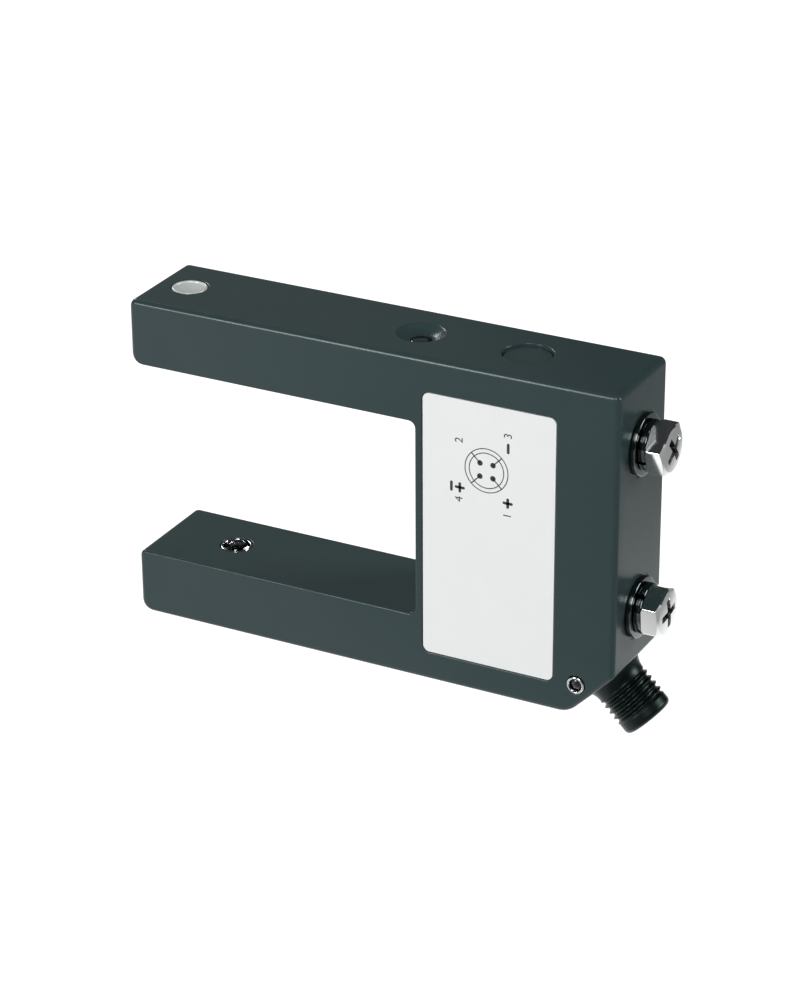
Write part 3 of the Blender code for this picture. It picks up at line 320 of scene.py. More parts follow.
@dataclass(frozen=True)
class PlatedMetal(Finish):
    """Electroplated steel or brass, tumbled before plating.

    It gives the eye a mirror with a slight haze, broken by fine handling lines that run one
    way and by soft smudges.
    """

    metallic: float = 1.0
    line_mm: float = 0.35
    line_detail: float = 4.0
    line_roughness: float = 0.6
    line_turn: Point = (0.4, 0.7, 0.2)
    line_stretch: float = 14.0
    line_depth: float = 0.0006

    def detail(self, wiring: Wiring) -> None:
        """Adds the handling lines: noise squeezed across and drawn out along them.

        Args:
            wiring: the material's nodes.
        """
        scale = (1.0, 1.0, 1 / self.line_stretch)
        turn = {"Vector": wiring.place, "Rotation": self.line_turn, "Scale": scale}
        drawn = wiring.add("Mapping", "Vector", turn)
        lines = wiring.noise(self.line_mm, self.line_detail, self.line_roughness, drawn)
        normal = wiring.bump(lines, self.line_depth)
        wiring.feed_shader({"Metallic": self.metallic, "Normal": normal})


@dataclass(frozen=True)
class ShadedRecessPlate(PlatedMetal):
    """Plating with a blind recess, with painted shade down in it.

    It gives the eye the same bright metal, going dull and nearly black down in the recess as
    painted shade.
    """

    # Painted shade in the recess: its colour, its share at the bottom and its roughness.
    recess_shade: int = 0x17191A
    recess_shade_share: float = 0.93
    recess_shade_roughness: float = 0.5

    def detail(self, wiring: Wiring) -> None:
        """Adds painted shade by the depth in the recess, kept as an attribute.

        Args:
            wiring: the material's nodes.
        """
        super().detail(wiring)
        depth = wiring.add("Attribute", "Fac", {}, attribute_name=RECESS_DEPTH)
        share = wiring.combine("MULTIPLY", depth, self.recess_shade_share)
        # Painted shade: the colour goes towards near black and the roughness up with the depth
        # share.
        shaded_colour = wiring.mix_colours(share, wiring.fed("Base Color"), self.recess_shade)
        gloss = {0: share, 2: wiring.fed("Roughness"), 3: self.recess_shade_roughness}
        dulled = wiring.add("Mix", 0, gloss, data_type="FLOAT")
        wiring.feed_shader({"Base Color": shaded_colour, "Roughness": dulled})


@dataclass(frozen=True)
class MouldedPlastic(Finish):
    """Injection-moulded plastic, extruded insulation or moulded rubber.

    It gives the eye a low sheen over the fine spark-eroded grain that the mould leaves.
    """

    grain_mm: float = 0.12
    grain_depth: float = 0.002
    index: float = 1.5

    def detail(self, wiring: Wiring) -> None:
        """Adds the mould's grain as small cells.

        Args:
            wiring: the material's nodes.
        """
        cells = {"Vector": wiring.place, "Scale": 1 / (self.grain_mm * MM)}
        grain = wiring.add("TexVoronoi", "Distance", cells, feature="SMOOTH_F1")
        normal = wiring.bump(grain, self.grain_depth)
        wiring.feed_shader({"IOR": self.index, "Normal": normal})


@dataclass(frozen=True)
class ClearMoulding(Finish):
    """Polished acrylic or polycarbonate, clear or tinted nearly black.

    It gives the eye sharp highlights over a dark inside, with a very slight waviness from
    the flow of the plastic in its mould.
    """

    transmission: float = 1.0
    index: float = 1.49
    wave_mm: float = 1.6
    wave_depth: float = 0.004

    def detail(self, wiring: Wiring) -> None:
        """Adds the clear body and the flow waves.

        Args:
            wiring: the material's nodes.
        """
        normal = wiring.bump(wiring.noise(self.wave_mm, 0.0), self.wave_depth)
        body = {"Transmission Weight": self.transmission, "IOR": self.index}
        wiring.feed_shader(body | {"Normal": normal})


@dataclass(frozen=True)
class CoatedBoard(Finish):
    """Glass-fibre circuit board under solder mask.

    It gives the eye a glossy green with paler copper tracks that show through it, slightly
    raised.
    """

    track: int = 0x2F7A4E
    track_mm: float = 0.9
    track_width: float = 0.12
    track_run: float = 3.1
    track_pitch: float = 0.9
    track_shift: float = 0.35
    track_depth: float = 0.03
    track_strength: float = 0.6

    def detail(self, wiring: Wiring) -> None:
        """Adds the tracks as the mortar lines of a brick pattern.

        Args:
            wiring: the material's nodes.
        """
        upright = {"Vector": wiring.place, "Rotation": (math.pi / 2, 0.0, 0.0)}
        pattern = {
            "Vector": wiring.add("Mapping", "Vector", upright),
            "Scale": 1 / (self.track_mm * MM),
            "Mortar Size": self.track_width,
            "Brick Width": self.track_run,
            "Row Height": self.track_pitch,
        }
        bricks = wiring.add("TexBrick", "Fac", pattern, offset=self.track_shift)
        shade = wiring.mix_colours(bricks, wiring.fed("Base Color"), self.track)
        normal = wiring.bump(bricks, self.track_depth, strength=self.track_strength)
        wiring.feed_shader({"Base Color": shade, "Normal": normal})


@dataclass(frozen=True)
class StudioFloor(Finish):
    """Matt pale paper under the object.

    It gives the eye a plain white ground. Light is added to it where the camera, a
    reflection or a clear piece looks at it, and its shadow stays. The added light falls
    off past the picture's right and lower edges, so the glossy sides mirror a soft fade.
    """

    glow: float = 0.92
    right_way: Point = (0.939, 0.343, 0.0)
    right_span: Pair = (40 * MM, 145 * MM)
    lower_way: Point = (0.453, -0.891, 0.0)
    lower_span: Pair = (34 * MM, 70 * MM)
    side_way: Point = (0.9, -0.4, 0.0)
    side_span: Pair = (-95 * MM, 10 * MM)

    def rise(self, wiring: Wiring, way: Point, span: Pair) -> Socket:
        """A share that rises from 0 to 1 along a level direction.

        Args:
            wiring: the material's nodes.
            way: the direction.
            span: the distances that way between which the share rises.

        Returns:
            The socket that holds the share.
        """
        terms = {0: wiring.place, 1: way}
        along = wiring.add("VectorMath", "Value", terms, operation="DOT_PRODUCT")
        limits = {"Value": along, "From Min": span[0], "From Max": span[1]}
        return wiring.add("MapRange", "Result", limits, interpolation_type="SMOOTHSTEP")

    def detail(self, wiring: Wiring) -> None:
        """Adds the light that camera, glossy and transmission rays find on the paper.

        Args:
            wiring: the material's nodes.
        """
        below = self.rise(wiring, self.lower_way, self.lower_span)
        side = self.rise(wiring, self.side_way, self.side_span)
        right = self.rise(wiring, self.right_way, self.right_span)
        dark = wiring.combine("MAXIMUM", right, wiring.combine("MULTIPLY", below, side))
        light = wiring.combine("MULTIPLY_ADD", dark, -self.glow, self.glow)
        rays = add_node(wiring.tree, "LightPath").outputs
        seen = rays["Is Camera Ray"]
        for kind in ("Is Glossy Ray", "Is Transmission Ray"):
            seen = wiring.combine("MAXIMUM", seen, rays[kind])
        glow = {"Emission Strength": wiring.combine("MULTIPLY", seen, light)}
        glow["Emission Color"] = (1.0, 1.0, 1.0, 1.0)
        wiring.feed_shader(glow | {"Specular IOR Level": 0.0})


PAINTED_CASTING = SatinPaint("slate paint on die casting", 0x2C3B3C, 0x303F40, 0.245, wander=0.08)
PAINTED_COVER = SatinPaint("slate paint on cover", 0x2B3A3B, 0x2F3E3F, 0.38)
BRIGHT_NICKEL = PlatedMetal("bright nickel plate", 0xD8DAD9, 0xCFD2D2, 0.1)
# Bright nickel, with painted shade down in the cross recess.
SCREW_NICKEL = ShadedRecessPlate("bright nickel plate with recess", 0xE6E8E7, 0xDCDFDF, 0.08)
# Nickel plate on the washers, its colour darkened as painted shade and dark reflection under the
# screw heads.
SHADED_NICKEL = PlatedMetal("dull nickel plate on steel", 0x666C6C, 0x5A6060, 0.14)
ZINC_PLATE = PlatedMetal("clear-passivated zinc plate", 0xB9BBBA, 0xA9ADB0, 0.26)
BLACK_NICKEL = PlatedMetal("black nickel plate", 0x1A2322, 0x222B2A, 0.36, metallic=0.9)
GOLD_PLATE = PlatedMetal("gold plate on brass", 0xD0AA58, 0xC59C46, 0.2)
SILVER_ENAMEL = PlatedMetal(
    "silver enamel on aluminium", 0xCDD0CF, 0xC0C4C3, 0.34, metallic=0.2, line_depth=0.0002
)
CAN_SLEEVE = replace(SILVER_ENAMEL, name="silver sleeve on aluminium can")
BLACK_NYLON = MouldedPlastic("black glass-filled nylon", 0x15181A, 0x1C2022, 0.45)
SEAL_RUBBER = MouldedPlastic("black nitrile rubber", 0x1A1B1C, 0x222324, 0.7, grain_mm=0.2)
LABEL_FILM = MouldedPlastic("white polyester film", 0xE3E4E4, 0xDFE1E1, 0.34, cloud_mm=6.0)
PRINT_INK = MouldedPlastic("black printing ink", 0x1B1C1E, 0x2A2B2D, 0.5, cloud_mm=0.5)
CHIP_EPOXY = MouldedPlastic("black moulding epoxy", 0x19191B, 0x222225, 0.5)
LIGHT_DIE = MouldedPlastic("pale yellow phosphor", 0xE2D9A0, 0xD8CB86, 0.35)
CLEAR_ACRYLIC = ClearMoulding("clear acrylic", 0xE6EDEE, 0xDDE6E8, 0.02)
DARK_POLYCARBONATE = ClearMoulding(
    "smoked polycarbonate", 0x0C1214, 0x10181B, 0.05, transmission=0.25, index=1.58
)
DIODE_EPOXY = ClearMoulding(
    "tinted clear epoxy", 0x5A6A72, 0x52626B, 0.08, transmission=0.6, index=1.55
)
BOARD_MASK = CoatedBoard("green solder mask on glass fibre", 0x1B5235, 0x1F5C3C, 0.3)
WHITE_PAPER = StudioFloor("pale backdrop paper", 0xA8A8A8, 0xABABAB, 0.9, cloud_mm=90.0)


class Wire(Enum):
    """The insulation colours of the leads, in the order of the pins."""

    BROWN = (0x5A3420, 0x623A25)
    WHITE = (0xDCDAD2, 0xD3D1C8)
    BLUE = (0x1D3F86, 0x22478F)
    BLACK = (0x18181A, 0x202022)

    def coat(self) -> Finish:
        """The extruded insulation of this colour."""
        return MouldedPlastic(f"{self.name.lower()} wire insulation", *self.value, 0.42)


# Surfaces as arrays


def place_at(origin: Point | Array, direction: Point, turn: float = 0.0) -> Array:
    """A place whose third axis points along a direction.

    Args:
        origin: where the place's zero is.
        direction: the way its third axis points.
        turn: the turn about that axis, in radians.

    Returns:
        A 4 by 4 matrix.
    """
    quarter = Vector(direction).to_track_quat("Z", "Y").to_matrix().to_4x4()
    turned_place = quarter @ Matrix.Rotation(turn, 4, "Z")
    return np.array(Matrix.Translation(Vector(origin)) @ turned_place)


def moved(points: Array, place: Array) -> Array:
    """Points taken from a place's own axes to the part's: turned, then shifted."""
    return points @ place[:3, :3].T + place[:3, 3]


def node_box(node: str) -> tuple[Array, Array]:
    """The lowest and highest corner of a solid, as arrays."""
    low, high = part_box(node)
    return np.array(low), np.array(high)


def seat(node: str, way: Point, turn: float = 0.0) -> tuple[Array, float]:
    """The place at the foot of a solid's box, in the middle of that side.

    Args:
        node: the solid's name.
        way: the axis that its third axis points along.
        turn: the turn about that axis, in radians.

    Returns:
        The place, and the box's length that way.
    """
    low, high = node_box(node)
    step = np.array(way)
    foot = np.where(step > 0, low, np.where(step < 0, high, (low + high) / 2))
    return place_at(foot, way, turn), float(abs(step @ (high - low)))


def arc(centre: Pair, radius: float, start: float, end: float, steps: int) -> Array:
    """Rows of an arc in a profile: centre + radius (cos a, sin a), with a in degrees."""
    angle = np.radians(np.linspace(start, end, steps + 1))
    return np.array(centre) + radius * np.stack([np.cos(angle), np.sin(angle)], axis=1)


def dome(radius: float, depth: float, length: float, steps: int) -> Array:
    """Rows of an elliptic dome, axis to rim: (radius sin a, length + depth (cos a - 1))."""
    angle = np.linspace(0, math.pi / 2, steps)
    return np.stack([radius * np.sin(angle), length + depth * (np.cos(angle) - 1)], axis=1)


def profile(*parts: Array | Pair) -> Array:
    """Joins points and arcs of a profile into one array of (radius, height) rows."""
    return np.concatenate([np.atleast_2d(np.asarray(part, dtype=float)) for part in parts])


def wound(radius: Array, height: Array, angle: Array) -> Array:
    """Grid points about the third axis: (r cos a, r sin a, h), spread over rows and columns."""
    radius, height, angle = np.broadcast_arrays(radius, height, angle)
    return np.stack([radius * np.cos(angle), radius * np.sin(angle), height], axis=2)


def turned(rows: Array, steps: int) -> Array:
    """A profile's (radius, height) rows turned about the third axis in a number of steps."""
    return wound(rows[:, :1], rows[:, 1:], np.linspace(0, math.tau, steps, endpoint=False)[None])


def rounded_rectangle(width: float, height: float, radius: float, steps: int) -> Array:
    """The outline of a rectangle with round corners, anticlockwise about its middle.

    Each corner is its own quarter circle: corner centre + radius (cos a, sin a).

    Args:
        width: the whole width.
        height: the whole height.
        radius: the corners' radius.
        steps: spans in each corner.

    Returns:
        An array of (across, up) rows.
    """
    quarter = np.linspace(0, math.pi / 2, steps + 1)
    angle = (quarter[None, :] + np.arange(4)[:, None] * math.pi / 2).ravel()
    centres = np.array(CORNERS) * np.array([width / 2 - radius, height / 2 - radius])
    centres = np.repeat(centres, steps + 1, axis=0)
    return centres + radius * np.stack([np.cos(angle), np.sin(angle)], axis=1)


def read_rows(items: object, key: str, width: int, kind: type = float) -> Array:
    """Reads one property of a mesh's items.

    Args:
        items: the mesh's vertices, edges, loops or attribute values.
        key: the property's name.
        width: how many numbers each item has.
        kind: the numbers' type.

    Returns:
        An array with a row for each item.
    """
    values = np.empty(width * len(items), dtype=kind)
    items.foreach_get(key, values)
    return values.reshape(-1, width)


def link_mesh(name: str, mesh: bpy.types.Mesh) -> Piece:
    """Links a mesh to the scene as an object at the origin.

    Args:
        name: the object's name.
        mesh: the mesh.

    Returns:
        The object.
    """
    piece = bpy.data.objects.new(name, mesh)
    bpy.context.scene.collection.objects.link(piece)
    return piece


def tidy_mesh(mesh: bpy.types.Mesh, shading: Shading, flat_angle: float = 0.0) -> None:
    """Merges a mesh's doubles, turns its faces outwards and shades it.

    Args:
        mesh: the mesh, changed in place.
        shading: the angle past which an edge stays sharp.
        flat_angle: faces that meet at less than this become one, in radians; none at 0.
    """
    work = bmesh.new()
    work.from_mesh(mesh)
    bmesh.ops.remove_doubles(work, verts=work.verts, dist=WELD)
    bmesh.ops.dissolve_degenerate(work, dist=WELD, edges=work.edges)
    bmesh.ops.recalc_face_normals(work, faces=work.faces)
    if flat_angle:
        bmesh.ops.dissolve_limit(work, angle_limit=flat_angle, verts=work.verts, edges=work.edges)
    work.to_mesh(mesh)
    work.free()
    mesh.shade_smooth()
    mesh.set_sharp_from_angle(angle=shading.value)


@dataclass(frozen=True)
class Grid:
    """Points on rows and columns. A face joins each with the next column and the next row.

    The last column also joins the first where it goes around, and the last row the first
    where it is a ring. Caps fill the first and last rows with a flat face.
    """

    points: Array
    around: bool = True
    ring: bool = False
    capped: bool = False

    def faces(self, offset: int) -> list[list[int]]:
        """The grid's faces.

        Args:
            offset: the number of its first vertex.

        Returns:
            The vertex numbers of each face.
        """
        rows, columns = self.points.shape[:2]
        index = np.arange(rows * columns).reshape(rows, columns) + offset
        if self.around:
            index = np.concatenate([index, index[:, :1]], axis=1)
        if self.ring:
            index = np.concatenate([index, index[:1]], axis=0)
        corners = (index[:-1, :-1], index[:-1, 1:], index[1:, 1:], index[1:, :-1])
        faces = np.stack(corners, axis=-1).reshape(-1, 4).tolist()
        if self.capped:
            faces += [index[0, :-1].tolist(), index[-1, -2::-1].tolist()]
        return faces


def grid_piece(
    name: str, place: Array, *grids: Grid, shading: Shading = Shading.ROUNDED
) -> Piece:
    """Makes a closed piece of one or more grids whose edges coincide.

    Args:
        name: the piece's name.
        place: where the grids' own axes stand.
        grids: the grids, which are welded where their points meet.
        shading: the angle past which an edge stays sharp.

    Returns:
        The piece.
    """
    points = np.concatenate([grid.points.reshape(-1, 3) for grid in grids])
    starts = np.cumsum([0] + [grid.points.shape[0] * grid.points.shape[1] for grid in grids])
    faces = [face for grid, start in zip(grids, starts) for face in grid.faces(int(start))]
    mesh = bpy.data.meshes.new(name)
    mesh.from_pydata(moved(points, place).tolist(), [], faces)
    tidy_mesh(mesh, shading)
    return link_mesh(name, mesh)


def turned_piece(name: str, place: Array, rows: Array, steps: int, ring: bool = False) -> Piece:
    """Makes a piece by turning a profile; a ring's closes on itself, off the axis."""
    return grid_piece(name, place, Grid(turned(rows, steps), ring=ring))


def lipped_tube(inner: float, outer: float, length: float) -> Array:
    """The profile of a short tube whose far end is a half round lip.

    Args:
        inner: its inside radius.
        outer: its outside radius.
        length: its length with the lip.

    Returns:
        An array of (radius, height) rows.
    """
    lip = (outer - inner) / 2
    edge = arc((inner + lip, length - lip), lip, 180, 0, LIP_STEPS)
    return profile((inner, 0), edge, (outer, 0))


def even_shading(piece: Piece) -> None:
    """Lets the largest faces set the shading at their edges, so that flats look flat."""
    modifier = piece.modifiers.new("even shading", "WEIGHTED_NORMAL")
    set_all(modifier, mode="FACE_AREA", weight=100, keep_sharp=True)


def merged_copy(node: str, shading: Shading) -> Piece:
    """A copy of a solid with its loose triangles joined and its flat faces made whole.

    Args:
        node: the solid's name.
        shading: the angle past which an edge stays sharp.

    Returns:
        The copy.
    """
    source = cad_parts[node].data
    points = read_rows(source.vertices, "co", 3)
    corners = read_rows(source.loops, "vertex_index", 1, np.int64).ravel()
    keys = np.round(points / WELD).astype(np.int64)
    _, first, back = np.unique(keys, axis=0, return_index=True, return_inverse=True)
    triangles = back.ravel()[corners].reshape(-1, 3)
    whole = (triangles != np.roll(triangles, 1, axis=1)).all(axis=1)
    mesh = bpy.data.meshes.new(f"{node}_dressed")
    mesh.from_pydata(points[first].tolist(), [], triangles[whole].tolist())
    tidy_mesh(mesh, shading, flat_angle=FLAT_ANGLE)
    return link_mesh(f"{node}_dressed", mesh)


# Sub-assemblies


@dataclass
class SubAssembly:
    """What the sub-assemblies share: how a piece is dressed and reported."""

    def dress(self, piece: Piece, slot: Slot, finish: Finish, *nodes: str) -> None:
        """Gives a piece its finish and hides the solids that it stands for.

        Args:
            piece: the piece, in place.
            slot: the record's slot; not used.
            finish: the finish.
            nodes: the solids that it replaces.
        """
        piece.data.materials.clear()
        piece.data.materials.append(finish.material())
        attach(piece, BODY)
        if nodes:
            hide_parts(*nodes)
        LOG.info("%s: %s", piece.name, finish.name)

    def dress_copy(self, node: str, slot: Slot, finish: Finish, bevel: float = 0.0) -> None:
        """Dresses a joined copy of a solid.

        Args:
            node: the solid's name.
            slot: the record's slot, passed on to dress; not used.
            finish: the finish.
            bevel: the width of a fine rounding on its sharp edges. At 0 it has none, and its
                faces are shaded as parts of a round surface.
        """
        shading = Shading.CRISP if bevel else Shading.ROUNDED
        piece = merged_copy(node, shading)
        if bevel:
            rounding = piece.modifiers.new("fine rounding", "BEVEL")
            set_all(rounding, width=bevel, segments=2)
            set_all(rounding, limit_method="ANGLE", angle_limit=shading.value)
            even_shading(piece)
        self.dress(piece, slot, finish, node)

    def carry(self, node: str, finish: Finish) -> None:
        """Gives a solid that is shown as it is its finish."""
        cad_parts[node].data.materials[0] = finish.material()
        LOG.info("%s: %s", node, finish.name)


@dataclass
class Casing(SubAssembly):
    """The die-cast fork, its rear cover with gasket and screws, and the pieces in its top."""

    arm_height: float = 10.0 * MM
    rim_rounding: float = 0.15 * MM
    level_tolerance: float = 0.004 * MM
    cover_rounding: float = 0.12 * MM
    plug_rounding: float = 0.08 * MM
    screw_count: int = 5
    screw_rounding: float = 0.06 * MM
    inlay_radius: float = 2.6 * MM
    inlay_rim: float = 0.42 * MM
    inlay_dish: float = 0.14 * MM
    inlay_steps: int = 96
    inlay_rows: int = 12
    inlay_rim_steps: int = 10

    def build(self) -> None:
        """Builds and dresses the casing."""
        housing = merged_copy("housing", Shading.ROUNDED)
        self.soften_rims(housing)
        even_shading(housing)
        self.dress(housing, Slot.CASTING, PAINTED_CASTING, "housing")
        self.dress_copy("rear_cover", Slot.COVER, PAINTED_COVER, self.cover_rounding)
        self.dress_copy("filling_plug", Slot.COVER, PAINTED_COVER, self.plug_rounding)
        self.carry("cover_gasket", SEAL_RUBBER)
        for number in range(1, self.screw_count + 1):
            screw = f"cover_screw_{number}"
            self.dress_copy(screw, Slot.ZINC, ZINC_PLATE, self.screw_rounding)
        self.build_inlay()

    def soften_rims(self, housing: Piece) -> None:
        """Rounds the rims of the pockets and bores in the fork's outer faces, as paint does.

        A rim's edges are the sharp ones that lie in the top, the front or a face of the slot.

        Args:
            housing: the fork's copy, whose rims are rounded.
        """
        mesh = housing.data
        points = read_rows(mesh.vertices, "co", 3)
        ends = read_rows(mesh.edges, "vertices", 2, np.int64)
        sharp = read_rows(mesh.attributes["sharp_edge"].data, "value", 1, bool).ravel()
        low, high = node_box("housing")
        slot_floor = low[2] + self.arm_height
        slot_roof = high[2] - self.arm_height
        rims = np.zeros(len(ends), dtype=bool)
        for axis, level in ((2, high[2]), (1, low[1]), (2, slot_floor), (2, slot_roof)):
            in_face = np.abs(points[:, axis] - level) < self.level_tolerance
            rims |= in_face[ends].all(axis=1)
        weights = mesh.attributes.new("bevel_weight_edge", "FLOAT", "EDGE")
        weights.data.foreach_set("value", (rims & sharp).astype(np.float32))
        rounding = housing.modifiers.new("rim rounding", "BEVEL")
        set_all(rounding, limit_method="WEIGHT", width=self.rim_rounding)
        set_all(rounding, segments=3, use_clamp_overlap=False)

    def build_inlay(self) -> None:
        """The round inlay: a dished face inside a raised, rounded rim.

        The profile is a shallow bowl, r squared over the radius squared, then a half circle
        for the rim, and straight sides down to the seat.
        """
        place, top = seat("tip_inlay", UP)
        outer = self.inlay_radius
        rim = self.inlay_rim / 2
        reach = np.linspace(0, outer - 2 * rim, self.inlay_rows)
        bowl = self.inlay_dish * ((reach / reach[-1]) ** 2 - 1)
        face = np.stack([reach, top - rim + bowl], axis=1)
        edge = arc((outer - rim, top - rim), rim, 180, 0, self.inlay_rim_steps)
        rows = profile(face, edge, (outer, 0), (0, 0))
        inlay = turned_piece("tip_inlay_turned", place, rows, self.inlay_steps)
        self.dress(inlay, Slot.ALUMINIUM, SILVER_ENAMEL, "tip_inlay")


@dataclass
class Label(SubAssembly):
    """The white film on the front and the small pin diagram printed on it.

    The diagram's places are across (along X) and up (along Z) from the middle of its rings.
    """

    corner_radius: float = 1.0 * MM
    corner_steps: int = 8
    edge_radius: float = 0.06 * MM
    edge_steps: int = 4
    ink_thickness: float = 0.012 * MM
    diagram_x: float = -19.8 * MM
    diagram_z: float = 7.5 * MM
    ring_radii: Pair = (3.3 * MM, 2.65 * MM)
    ring_steps: int = 96
    line_width: float = 0.14 * MM
    lead_width: float = 0.168 * MM
    dot_spacing: float = 2.0 * MM
    dot_radius: float = 0.42 * MM
    dot_steps: int = 32
    end_roundness: float = 0.49
    sign_length: float = 1.15 * MM
    sign_width: float = 0.42 * MM
    digit_size: float = 1.755 * MM
    minus_places: tuple[Pair, ...] = ((3.3 * MM, 4.0 * MM), (-5.4 * MM, -3.4 * MM))
    plus_places: tuple[Pair, ...] = ((3.3 * MM, -4.3 * MM), (-4.1 * MM, -3.4 * MM))
    digit_places: tuple[tuple[str, float, float], ...] = (
        ("1", 3.3 * MM, -6.2 * MM),
        ("2", -4.2 * MM, 3.8 * MM),
        ("3", 3.3 * MM, 5.9 * MM),
        ("4", -4.2 * MM, -5.2 * MM),
    )

    def build(self) -> None:
        """Builds and dresses the film and its print."""
        low, high = node_box("front_label")
        width, _, height = high - low
        place, thickness = seat("front_label", TO_FRONT)
        shoulder = thickness - self.edge_radius
        edge = arc((-self.edge_radius, shoulder), self.edge_radius, 0, 90, self.edge_steps)
        rows = profile((0, 0), (0, shoulder), edge)
        film = Grid(self.sheet(width, height, self.corner_radius, rows), capped=True)
        piece = grid_piece("front_label_film", place, film)
        even_shading(piece)
        self.dress(piece, Slot.FILM, LABEL_FILM, "front_label")
        self.build_rings()
        self.build_strokes()
        self.build_digits()

    def sheet(self, width: float, height: float, radius: float, rows: Array) -> Array:
        """A thin plate with round corners, its edge following a profile.

        Each row is the rounded outline, offset by the row's reach and lifted to its height.

        Args:
            width: the plate's width.
            height: the plate's height.
            radius: its corners' radius.
            rows: (reach beyond the outline, lift) rows.

        Returns:
            Grid points, rows by columns by 3.
        """
        layers = []
        for reach, lift in rows:
            wide, high = width + 2 * reach, height + 2 * reach
            outline = rounded_rectangle(wide, high, radius + reach, self.corner_steps)
            layers.append(np.insert(outline, 2, lift, axis=1))
        return np.stack(layers)

    def spot(self, across: float, up: float, turn: float = 0.0) -> Array:
        """A place on the film's face, across and up from the middle of the diagram."""
        face_y = node_box("front_label")[0][1]
        return place_at((self.diagram_x + across, face_y, self.diagram_z + up), TO_FRONT, turn)

    def ink(self, piece: Piece) -> None:
        """Dresses a printed mark, which stands for no solid."""
        self.dress(piece, Slot.PLASTIC, PRINT_INK)

    def build_rings(self) -> None:
        """Prints the two rings and the four dots, each a very flat turned shape."""
        lift = self.ink_thickness
        for number, radius in enumerate(self.ring_radii, 1):
            inner, outer = radius - self.line_width / 2, radius + self.line_width / 2
            rows = profile((inner, 0), (inner, lift), (outer, lift), (outer, 0))
            name = f"print_ring_{number}"
            self.ink(turned_piece(name, self.spot(0, 0), rows, self.ring_steps, ring=True))
        rows = profile((0, lift), (self.dot_radius, lift), (self.dot_radius, 0), (0, 0))
        step = self.dot_spacing / 2
        for number, (side, end) in enumerate(CORNERS, 1):
            place = self.spot(side * step, end * step)
            self.ink(turned_piece(f"print_dot_{number}", place, rows, self.dot_steps))

    def stroke(self, name: str, start: Pair, end: Pair, width: float) -> None:
        """Prints a straight stroke with round ends between two points.

        Args:
            name: the mark's name.
            start: (across, up) of one end.
            end: (across, up) of the other.
            width: the stroke's width.
        """
        ends = np.array([start, end])
        run = ends[1] - ends[0]
        length = float(np.hypot(*run)) + width
        rows = profile((0, 0), (0, self.ink_thickness))
        bar = Grid(self.sheet(length, width, width * self.end_roundness, rows), capped=True)
        place = self.spot(*ends.mean(axis=0), math.atan2(run[1], run[0]))
        self.ink(grid_piece(name, place, bar))

    def build_strokes(self) -> None:
        """Prints the leads from the dots to the rings, and the signs."""
        near = self.dot_spacing / 2
        far = self.ring_radii[0] * math.sqrt(0.5)
        for number, (side, end) in enumerate(CORNERS, 1):
            ends = (side * near, end * near), (side * far, end * far)
            self.stroke(f"print_lead_{number}", *ends, self.lead_width)
        half = self.sign_length / 2
        for number, (across, up) in enumerate(self.minus_places + self.plus_places, 1):
            ends = (across, up - half), (across, up + half)
            self.stroke(f"print_sign_{number}", *ends, self.sign_width)
        for number, (across, up) in enumerate(self.plus_places, 1):
            ends = (across - half, up), (across + half, up)
            self.stroke(f"print_cross_{number}", *ends, self.sign_width)

    def build_digits(self) -> None:
        """Prints the plain pin numbers, which read upwards."""
        for digit, across, up in self.digit_places:
            name = f"print_digit_{digit}"
            text = bpy.data.curves.new(name, "FONT")
            set_all(text, body=digit, size=self.digit_size, extrude=self.ink_thickness / 2)
            set_all(text, align_x="CENTER", align_y="CENTER")
            holder = bpy.data.objects.new(name, text)
            bpy.context.scene.collection.objects.link(holder)
            bpy.context.view_layer.update()
            graph = bpy.context.evaluated_depsgraph_get()
            mesh = bpy.data.meshes.new_from_object(holder.evaluated_get(graph))
            bpy.data.objects.remove(holder)
            mesh.transform(Matrix(self.spot(across, up, math.pi / 2).tolist()))
            tidy_mesh(mesh, Shading.CRISP)
            self.ink(link_mesh(name, mesh))


def thread_groove(turns: Array, crest: float = 0.125, flank: float = 0.625) -> Array:
    """How deep a 60 degree thread is, from 0 on its crest to 1 in its root.

    Args:
        turns: the height over the pitch, less the share of a turn.
        crest: half the crest's width, in half pitches.
        flank: a flank's width, in half pitches.

    Returns:
        With x as the distance from the middle of a crest, 0 there and 1 half a pitch away,
        the depth is (x - crest) / flank, held between 0 and 1.
    """
    across = np.abs(2 * (turns - np.floor(turns)) - 1)
    return np.clip((across - crest) / flank, 0, 1)


